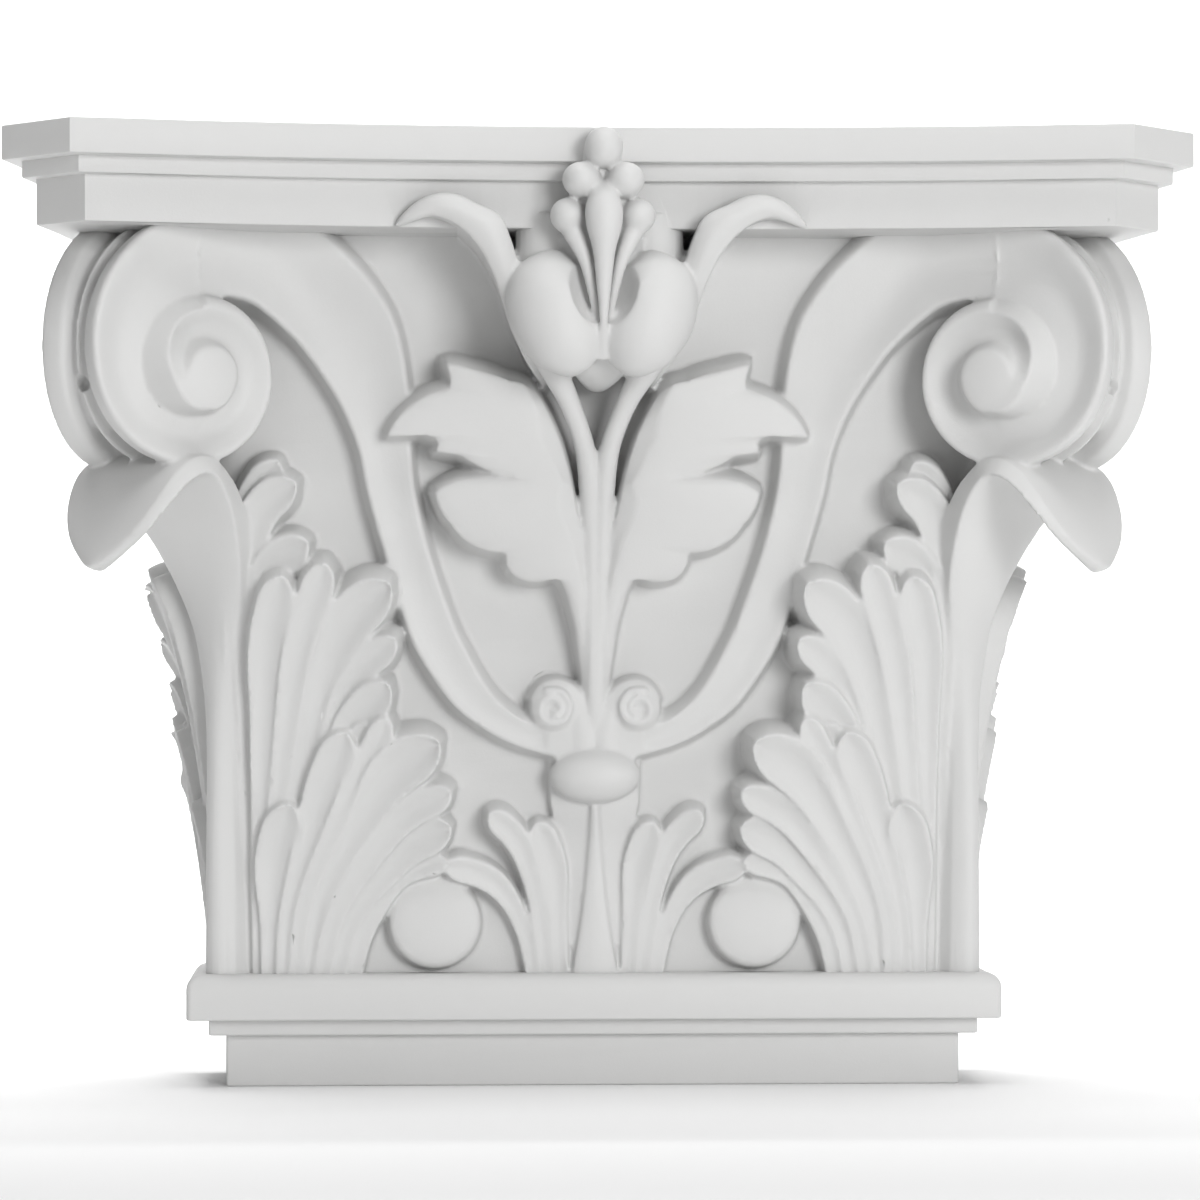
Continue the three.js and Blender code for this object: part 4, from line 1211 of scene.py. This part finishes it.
class CAPITAL_OT_casting(bpy.types.Operator):
    """Fuses the carving, adds the crisp mouldings, cuts the back flat and primes the casting"""

    bl_idname = "capital.casting"
    bl_label = "Casting"

    def execute(self, context):
        finish = context.scene.capital_finish
        sheet = sheet_now()
        patterns = [piece for piece in bpy.data.objects if piece.name.startswith(PATTERN)]
        if not patterns:
            raise RuntimeError("there is no carving to cast")
        casting = patterns[0]
        with context.temp_override(active_object=casting, object=casting,
                                   selected_editable_objects=patterns):
            bpy.ops.object.join()
        applied(casting, "REMESH", mode="VOXEL", voxel_size=finish.grain)
        applied(casting, "SMOOTH", factor=0.5, iterations=finish.softening)
        count = sum(len(face.vertices) - 2 for face in casting.data.polygons)
        applied(casting, "DECIMATE", ratio=min(1.0, finish.faces / count))

        for k, shell in enumerate(base_mouldings(sheet) + abacus(sheet)):
            tier = pattern(f"tier_{k}", [shell])
            outwards(tier)
            applied(casting, "BOOLEAN", operation="UNION", object=tier, solver="MANIFOLD")
            removed(tier)
        for cutter in self.cutters(sheet):
            applied(casting, "BOOLEAN", operation="DIFFERENCE", object=cutter, solver="MANIFOLD")
            removed(cutter)
        self.finished(casting, sheet, finish)
        return {"FINISHED"}

    def cutters(self, sheet):
        """The wall's space behind the casting, and the blind holes in the drums."""
        reach, deep = 2 * sheet.width, 60.0
        ring = np.array([[-reach, 0], [reach, 0], [reach, deep], [-reach, deep]]) + [0, sheet.wall]
        space = pattern("wall", [levels([(ring, -50), (ring, sheet.height + 50)])])
        holes = pattern("holes", both_sides([drill(sheet)]))
        outwards(space)
        outwards(holes)
        return [space, holes]

    def finished(self, casting, sheet, finish):
        """Names the casting, shades it and gives it the primer."""
        casting.name = "casting"
        mesh = casting.data
        mesh.name = "casting"
        mesh.shade_smooth()
        self.crisp_edges(mesh, sheet)
        store_crevice_shade(mesh)
        mesh.materials.clear()
        mesh.materials.append(primer_material(finish))
        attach(casting, "root")
        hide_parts("capital")

    def crisp_edges(self, mesh, sheet):
        """Sharp shading where the mouldings and the back have real corners."""
        limit = math.cos(math.radians(32))
        low = sheet.foot * MM + 1e-4
        high = sheet.abacus_foot * MM - 1e-4
        back = sheet.wall * MM - 1e-5
        work = bmesh.new()
        work.from_mesh(mesh)
        for edge in work.edges:
            middle = (edge.verts[0].co + edge.verts[1].co) / 2
            moulding = middle.z < low or middle.z > high or middle.y > back
            if moulding and len(edge.link_faces) == 2:
                one, two = edge.link_faces
                edge.smooth = one.normal.dot(two.normal) > limit
        work.to_mesh(mesh)
        work.free()


class CAPITAL_OT_studio(bpy.types.Operator):
    """Sets the pale floor, the soft light and the camera"""

    bl_idname = "capital.studio"
    bl_label = "Studio"

    def execute(self, context):
        studio = context.scene.capital_studio
        sheet = sheet_now()
        self.floor(studio, context.scene)
        self.lights(studio, context.scene)
        self.camera(studio, sheet, context.scene)
        context.scene.view_settings.view_transform = "Standard"
        return {"FINISHED"}

    def floor(self, studio, scene):
        """Floor that sweeps up behind into a plain backdrop."""
        half, front, back, radius, top = 6.0, -6.0, 3.0, 1.2, 6.0
        profile = [(front, 0.0)]
        for turn in np.linspace(0, math.pi / 2, 24):
            profile.append((back + radius * math.sin(turn), radius * (1 - math.cos(turn))))
        profile.append((back + radius, top))
        points = [(x, y, z) for y, z in profile for x in (-half, half)]
        faces = [(2 * k, 2 * k + 1, 2 * k + 3, 2 * k + 2) for k in range(len(profile) - 1)]
        mesh = bpy.data.meshes.new("studio_floor")
        mesh.from_pydata(points, [], faces)
        mesh.shade_smooth()
        floor = bpy.data.objects.new("studio_floor", mesh)
        material = bpy.data.materials.new("studio_paper")
        material.use_nodes = True
        shader = material.node_tree.nodes["Principled BSDF"]
        shader.inputs["Base Color"].default_value = (*studio.floor_colour, 1)
        shader.inputs["Roughness"].default_value = 0.9
        shader.inputs["Specular IOR Level"].default_value = 0
        mesh.materials.append(material)
        scene.collection.objects.link(floor)

    def lights(self, studio, scene):
        """Even light from all round, and soft lights on the casting, floor and backdrop."""
        world = bpy.data.worlds.new("studio_light")
        world.use_nodes = True
        sky = world.node_tree.nodes["Background"]
        sky.inputs["Color"].default_value = (1, 1, 1, 1)
        sky.inputs["Strength"].default_value = studio.fill_strength
        scene.world = world
        for name, spot, aim, size, power in (
            ("key", (1.0, -2.6, 0.62), (0, 0, 0.2), 0.9, studio.key_power),
            ("overhead", (0.0, -0.9, 3.0), (0, -0.9, 0), 2.4, studio.key_power * 1.3),
            ("backdrop", (0.0, 0.9, 2.6), (0, 4, 1), 2.0, studio.key_power * 5),
        ):
            light = bpy.data.lights.new(name, "AREA")
            light.energy = power
            light.size = size
            lamp = bpy.data.objects.new(name, light)
            lamp.location = spot
            way = Vector(aim) - Vector(spot)
            lamp.rotation_euler = way.to_track_quat("-Z", "Y").to_euler()
            scene.collection.objects.link(lamp)

    def camera(self, studio, sheet, scene):
        """Level camera, a little to the left, with the picture's framing by shift."""
        data = bpy.data.cameras.new("camera")
        data.sensor_width = 36
        data.lens = data.sensor_width * studio.distance / studio.frame_width
        data.shift_x = (PICTURE / 2 - AXIS_ACROSS) / PICTURE
        data.shift_y = (AXIS_DOWN - PICTURE / 2) / PICTURE
        camera = bpy.data.objects.new("camera", data)
        aim = Vector((0, sheet.front * MM, studio.eye_height))
        back = Vector((-math.sin(studio.yaw), -math.cos(studio.yaw), 0))
        camera.location = aim + back * studio.distance
        camera.rotation_euler = (math.radians(90), 0, -studio.yaw)
        scene.collection.objects.link(camera)
        scene.camera = camera


class CAPITAL_PT_panel(bpy.types.Panel):
    """Lists the steps that make the capital"""

    bl_idname = "CAPITAL_PT_panel"
    bl_label = "Capital"
    bl_space_type = "VIEW_3D"
    bl_region_type = "UI"
    bl_category = "Capital"

    def draw(self, context):
        for step in STEPS:
            self.layout.operator(step.bl_idname)
        for group in (context.scene.capital_sizes, context.scene.capital_finish,
                      context.scene.capital_studio):
            column = self.layout.column()
            for name in group.bl_rna.properties.keys():
                if name not in ("rna_type", "name"):
                    column.prop(group, name)


GROUPS = (CapitalSizes, CapitalFinish, StudioSettings)
STEPS = (CAPITAL_OT_scrolls, CAPITAL_OT_leaves, CAPITAL_OT_flower, CAPITAL_OT_middle,
         CAPITAL_OT_casting, CAPITAL_OT_studio)


def register():
    for kind in GROUPS + STEPS + (CAPITAL_PT_panel,):
        bpy.utils.register_class(kind)
    bpy.types.Scene.capital_sizes = PointerProperty(type=CapitalSizes)
    bpy.types.Scene.capital_finish = PointerProperty(type=CapitalFinish)
    bpy.types.Scene.capital_studio = PointerProperty(type=StudioSettings)


def unregister():
    del bpy.types.Scene.capital_sizes
    del bpy.types.Scene.capital_finish
    del bpy.types.Scene.capital_studio
    for kind in reversed(GROUPS + STEPS + (CAPITAL_PT_panel,)):
        bpy.utils.unregister_class(kind)


def main():
    register()
    bpy.ops.capital.scrolls()
    bpy.ops.capital.leaves()
    bpy.ops.capital.flower()
    bpy.ops.capital.middle()
    bpy.ops.capital.casting()
    bpy.ops.capital.studio()


if __name__ == "__main__":
    main()
